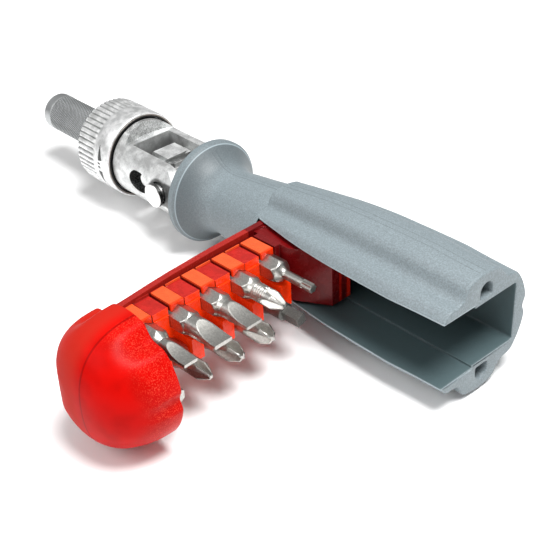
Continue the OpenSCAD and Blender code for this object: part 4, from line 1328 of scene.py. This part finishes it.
CAMERA_PLACE = (-0.338411, 0.191430, 0.175315)
CAMERA_AZIMUTH = math.radians(-40.46)
CAMERA_ELEVATION = math.radians(-33.218)
CAMERA_ROLL = math.radians(-3.1754)
SENSOR_WIDTH = 36.0
FOCAL_PIXELS = 1113.169
PICTURE_WIDTH = 533.0
STAGE_MIDDLE = np.array([-0.10, 0.03, 0.0])
FLOOR_HALF = 1.6
HORIZON_RISE = (0.12, 0.55)
HORIZON_LIGHT = (0.28, 1.0)


def placed(name, data, right, up, back, place):
    """Object whose own X, Y and Z axes point right, up and back, at the place."""
    thing = bpy.data.objects.new(name, data)
    bpy.context.scene.collection.objects.link(thing)
    turn = np.eye(4)
    turn[:3] = np.column_stack([right, up, back, place])
    thing.matrix_world = Matrix(turn.tolist())
    return thing


def camera_axes():
    """Right, up and ahead of the camera, from its azimuth, elevation and roll."""
    level = math.cos(CAMERA_ELEVATION)
    across, along = math.sin(CAMERA_AZIMUTH), math.cos(CAMERA_AZIMUTH)
    ahead = np.array([level * along, level * across, math.sin(CAMERA_ELEVATION)])
    right = np.array([across, -along, 0.0])
    up = np.cross(right, ahead)
    c, s = math.cos(CAMERA_ROLL), math.sin(CAMERA_ROLL)
    return right * c + up * s, up * c - right * s, ahead


def add_floor(colour):
    """Pale paper under the lowest point of the tool."""
    z = float(CAD_BOX[0][2])
    corners = [(x * FLOOR_HALF, y * FLOOR_HALF, z) for x, y in ((-1, -1), (1, -1), (1, 1), (-1, 1))]
    mesh = bpy.data.meshes.new("floor")
    mesh.from_pydata(corners, [], [(0, 1, 2, 3)])
    floor = bpy.data.objects.new("floor", mesh)
    bpy.context.scene.collection.objects.link(floor)
    m = Finish("floor_paper", Roughness=0.85)
    give(floor, m.done(Base_Color=m.mix(m.noise(40.0), colour, shade(colour, 1.02))))


def add_even_light(strength):
    """Light of the sky: dim at the horizon and below, at its full strength higher up."""
    world = bpy.data.worlds.new("even_light")
    bpy.context.scene.world = world
    world.use_nodes = True
    tree = world.node_tree
    where = add_node(tree, "ShaderNodeTexCoord")
    split = add_node(tree, "ShaderNodeSeparateXYZ", None, {0: where.outputs["Generated"]})
    sockets = {0: split.outputs[2]}
    sockets.update(enumerate(HORIZON_RISE + HORIZON_LIGHT, 1))
    rise = add_node(tree, "ShaderNodeMapRange", {"interpolation_type": "SMOOTHSTEP"}, sockets)
    fill_sockets(tree, tree.nodes["Background"], {0: rise.outputs[0], 1: strength})


def add_lamp(name, direction, distance, width, power):
    """Round lamp that shines on the middle of the stage from the direction."""
    light = bpy.data.lights.new(name, "AREA")
    light.shape = "DISK"
    light.size = width
    light.energy = power
    back = direction / np.linalg.norm(direction)
    right = np.cross(np.array([0, 0, 1.0]), back)
    right /= np.linalg.norm(right)
    placed(name, light, right, np.cross(back, right), back, STAGE_MIDDLE + back * distance)


def add_camera():
    """Camera of the photo."""
    camera = bpy.data.cameras.new("camera")
    camera.sensor_width = SENSOR_WIDTH
    camera.sensor_fit = "HORIZONTAL"
    camera.lens = SENSOR_WIDTH * FOCAL_PIXELS / PICTURE_WIDTH
    camera.clip_start = 0.01
    right, up, ahead = camera_axes()
    bpy.context.scene.camera = placed("camera", camera, right, up, -ahead, CAMERA_PLACE)


# Operators


class OBJECT_OT_screwdriver_grip(bpy.types.Operator):
    """Builds the grey grip with its bay, neck and bell guard"""

    bl_idname = "object.screwdriver_grip"
    bl_label = "Grip"

    def execute(self, context):
        settings = context.scene.screwdriver_grip
        give(build_grip(settings), grip_plastic(settings.colour, settings.roughness))
        return {"FINISHED"}


class OBJECT_OT_screwdriver_magazine(bpy.types.Operator):
    """Builds the red magazine: end cap and bit carrier"""

    bl_idname = "object.screwdriver_magazine"
    bl_label = "Magazine"

    def execute(self, context):
        settings = context.scene.screwdriver_magazine
        cap = build_cap(settings.cap_points)
        carrier = build_carrier(settings.edge_radius / MM)
        give(cap, cap_plastic(settings.colour, settings.haze, 0.4))
        give(carrier, carrier_plastic(CARRIER_COLOURS, 0.2))
        return {"FINISHED"}


class OBJECT_OT_screwdriver_bits(bpy.types.Operator):
    """Builds the ten bits in the magazine"""

    bl_idname = "object.screwdriver_bits"
    bl_label = "Bits"

    def execute(self, context):
        settings = context.scene.screwdriver_bits
        bright = bit_steel("bit_steel_satin", settings.colour, 0.24)
        dark = bit_steel("bit_steel_phosphated", shade(settings.colour, 0.35), 0.4)
        for first_x, side, bits in BIT_ROWS:
            for k, (name, bit) in enumerate(bits.items()):
                piece = build_bit(name, first_x + PITCH * k, side, bit, settings.points)
                give(piece, dark if name == DARK_BIT else bright)
        return {"FINISHED"}


class OBJECT_OT_screwdriver_swivel(bpy.types.Operator):
    """Dresses the swivel: stem, pin, washer, clip and lock slider"""

    bl_idname = "object.screwdriver_swivel"
    bl_label = "Swivel"

    def execute(self, context):
        zinc = context.scene.screwdriver_head.zinc
        # Painted light: the slider gets a lighter copy of the zinc, the stem a darker one for the shade round
        # it
        lit_slider_zinc = cast_zinc("zinc_slider", shade(zinc, 1.15))
        shaded_stem_zinc = cast_zinc("zinc_stem", shade(zinc, 0.62))
        bright = turned_steel("pin_steel", (0.80, 0.80, 0.79), 0.18, 0.08, 0.004, pin_side_painted_shade)
        dark = turned_steel("clip_steel", (0.12, 0.12, 0.13), 0.35)
        give(dressed_copy("swivel_stem", "stem", "handle", 0.25), shaded_stem_zinc)
        give(dressed_copy("lock_slider", "slider", "lock_slider", 0.2), lit_slider_zinc)
        give(dressed_copy("swivel_pin", "pin", "head", 0.3), bright)
        give(dressed_copy("swivel_pin_washer", "washer", "head", 0.1), bright)
        give(NODES["swivel_pin_clip"], dark)
        return {"FINISHED"}


class OBJECT_OT_screwdriver_head(bpy.types.Operator):
    """Builds the ratchet housing, selector ring with its marks, bit holder and inner pieces"""

    bl_idname = "object.screwdriver_head"
    bl_label = "Ratchet head"

    def execute(self, context):
        settings = context.scene.screwdriver_head
        housing = dressed_copy("ratchet_housing", "housing", "head", 0.3)
        give(housing, cast_zinc("zinc_housing", settings.zinc, darkened=housing_painted_shade))
        # Painted light: the ring gets a lighter copy of the housing's zinc
        lit_ring_zinc = cast_zinc("zinc_ring", shade(settings.zinc, 1.17), 0.4, 0.03, ring_edges)
        give(build_ring(settings.flute_count), lit_ring_zinc)
        paint = mark_paint()
        for name, corners in RING_MARKS.items():
            give(build_mark(name, corners), paint)
        nickel = turned_steel("holder_nickel", settings.holder, 0.34, 0.1, 0.006, knurl_painted_shade)
        give(build_holder(settings), nickel)
        give(NODES["front_bush"], turned_steel("bush_bronze", (0.50, 0.36, 0.17), 0.3))
        dark = turned_steel("retainer_steel", (0.12, 0.12, 0.13), 0.35)
        for name in ("ring_retainer", "bit_snap_ring"):
            give(NODES[name], dark)
        plain = turned_steel("inner_steel", (0.45, 0.45, 0.44), 0.3)
        pawls = ("pawl_upper", "pawl_lower", "pawl_spring_upper", "pawl_spring_lower")
        for name in pawls + ("detent_ball", "detent_spring", "socket_magnet"):
            give(NODES[name], plain)
        return {"FINISHED"}


class OBJECT_OT_screwdriver_stage(bpy.types.Operator):
    """Sets up the floor, the lights and the camera"""

    bl_idname = "object.screwdriver_stage"
    bl_label = "Stage"

    def execute(self, context):
        settings = context.scene.screwdriver_stage
        add_floor(settings.floor)
        add_even_light(settings.world)
        add_camera()
        right, _, ahead = [axis * np.array([1, 1, 0]) for axis in camera_axes()]
        add_lamp("key", 0.35 * right - 0.42 * ahead + np.array([0, 0, 1.3]), 0.8, 0.38, settings.key)
        add_lamp("fill", -0.9 * right - 0.6 * ahead + np.array([0, 0, 0.9]), 0.9, 0.6, settings.fill)
        context.scene.view_settings.view_transform = "Standard"
        return {"FINISHED"}


class VIEW3D_PT_screwdriver(bpy.types.Panel):
    """Lists the builders of the screwdriver's pieces"""

    bl_label = "Screwdriver"
    bl_idname = "VIEW3D_PT_screwdriver"
    bl_space_type = "VIEW_3D"
    bl_region_type = "UI"
    bl_category = "Screwdriver"

    def draw(self, context):
        for operator, group in OPERATORS:
            box = self.layout.box()
            box.operator(operator.bl_idname)
            settings = getattr(context.scene, group)
            for name in settings.__annotations__:
                box.prop(settings, name)


OPERATORS = [
    (OBJECT_OT_screwdriver_grip, "screwdriver_grip"),
    (OBJECT_OT_screwdriver_magazine, "screwdriver_magazine"),
    (OBJECT_OT_screwdriver_bits, "screwdriver_bits"),
    (OBJECT_OT_screwdriver_swivel, "screwdriver_head"),
    (OBJECT_OT_screwdriver_head, "screwdriver_head"),
    (OBJECT_OT_screwdriver_stage, "screwdriver_stage"),
]
GROUPS = {
    "screwdriver_grip": ScrewdriverGrip,
    "screwdriver_magazine": ScrewdriverMagazine,
    "screwdriver_bits": ScrewdriverBits,
    "screwdriver_head": ScrewdriverHead,
    "screwdriver_stage": ScrewdriverStage,
}


def register():
    for name, group in GROUPS.items():
        bpy.utils.register_class(group)
        setattr(bpy.types.Scene, name, PointerProperty(type=group))
    for operator, _ in OPERATORS:
        bpy.utils.register_class(operator)
    bpy.utils.register_class(VIEW3D_PT_screwdriver)


def unregister():
    bpy.utils.unregister_class(VIEW3D_PT_screwdriver)
    for operator, _ in reversed(OPERATORS):
        bpy.utils.unregister_class(operator)
    for name, group in GROUPS.items():
        delattr(bpy.types.Scene, name)
        bpy.utils.unregister_class(group)


def main():
    register()
    bpy.ops.object.screwdriver_stage()
    bpy.ops.object.screwdriver_grip()
    bpy.ops.object.screwdriver_magazine()
    bpy.ops.object.screwdriver_bits()
    bpy.ops.object.screwdriver_swivel()
    bpy.ops.object.screwdriver_head()


if __name__ == "__main__":
    main()
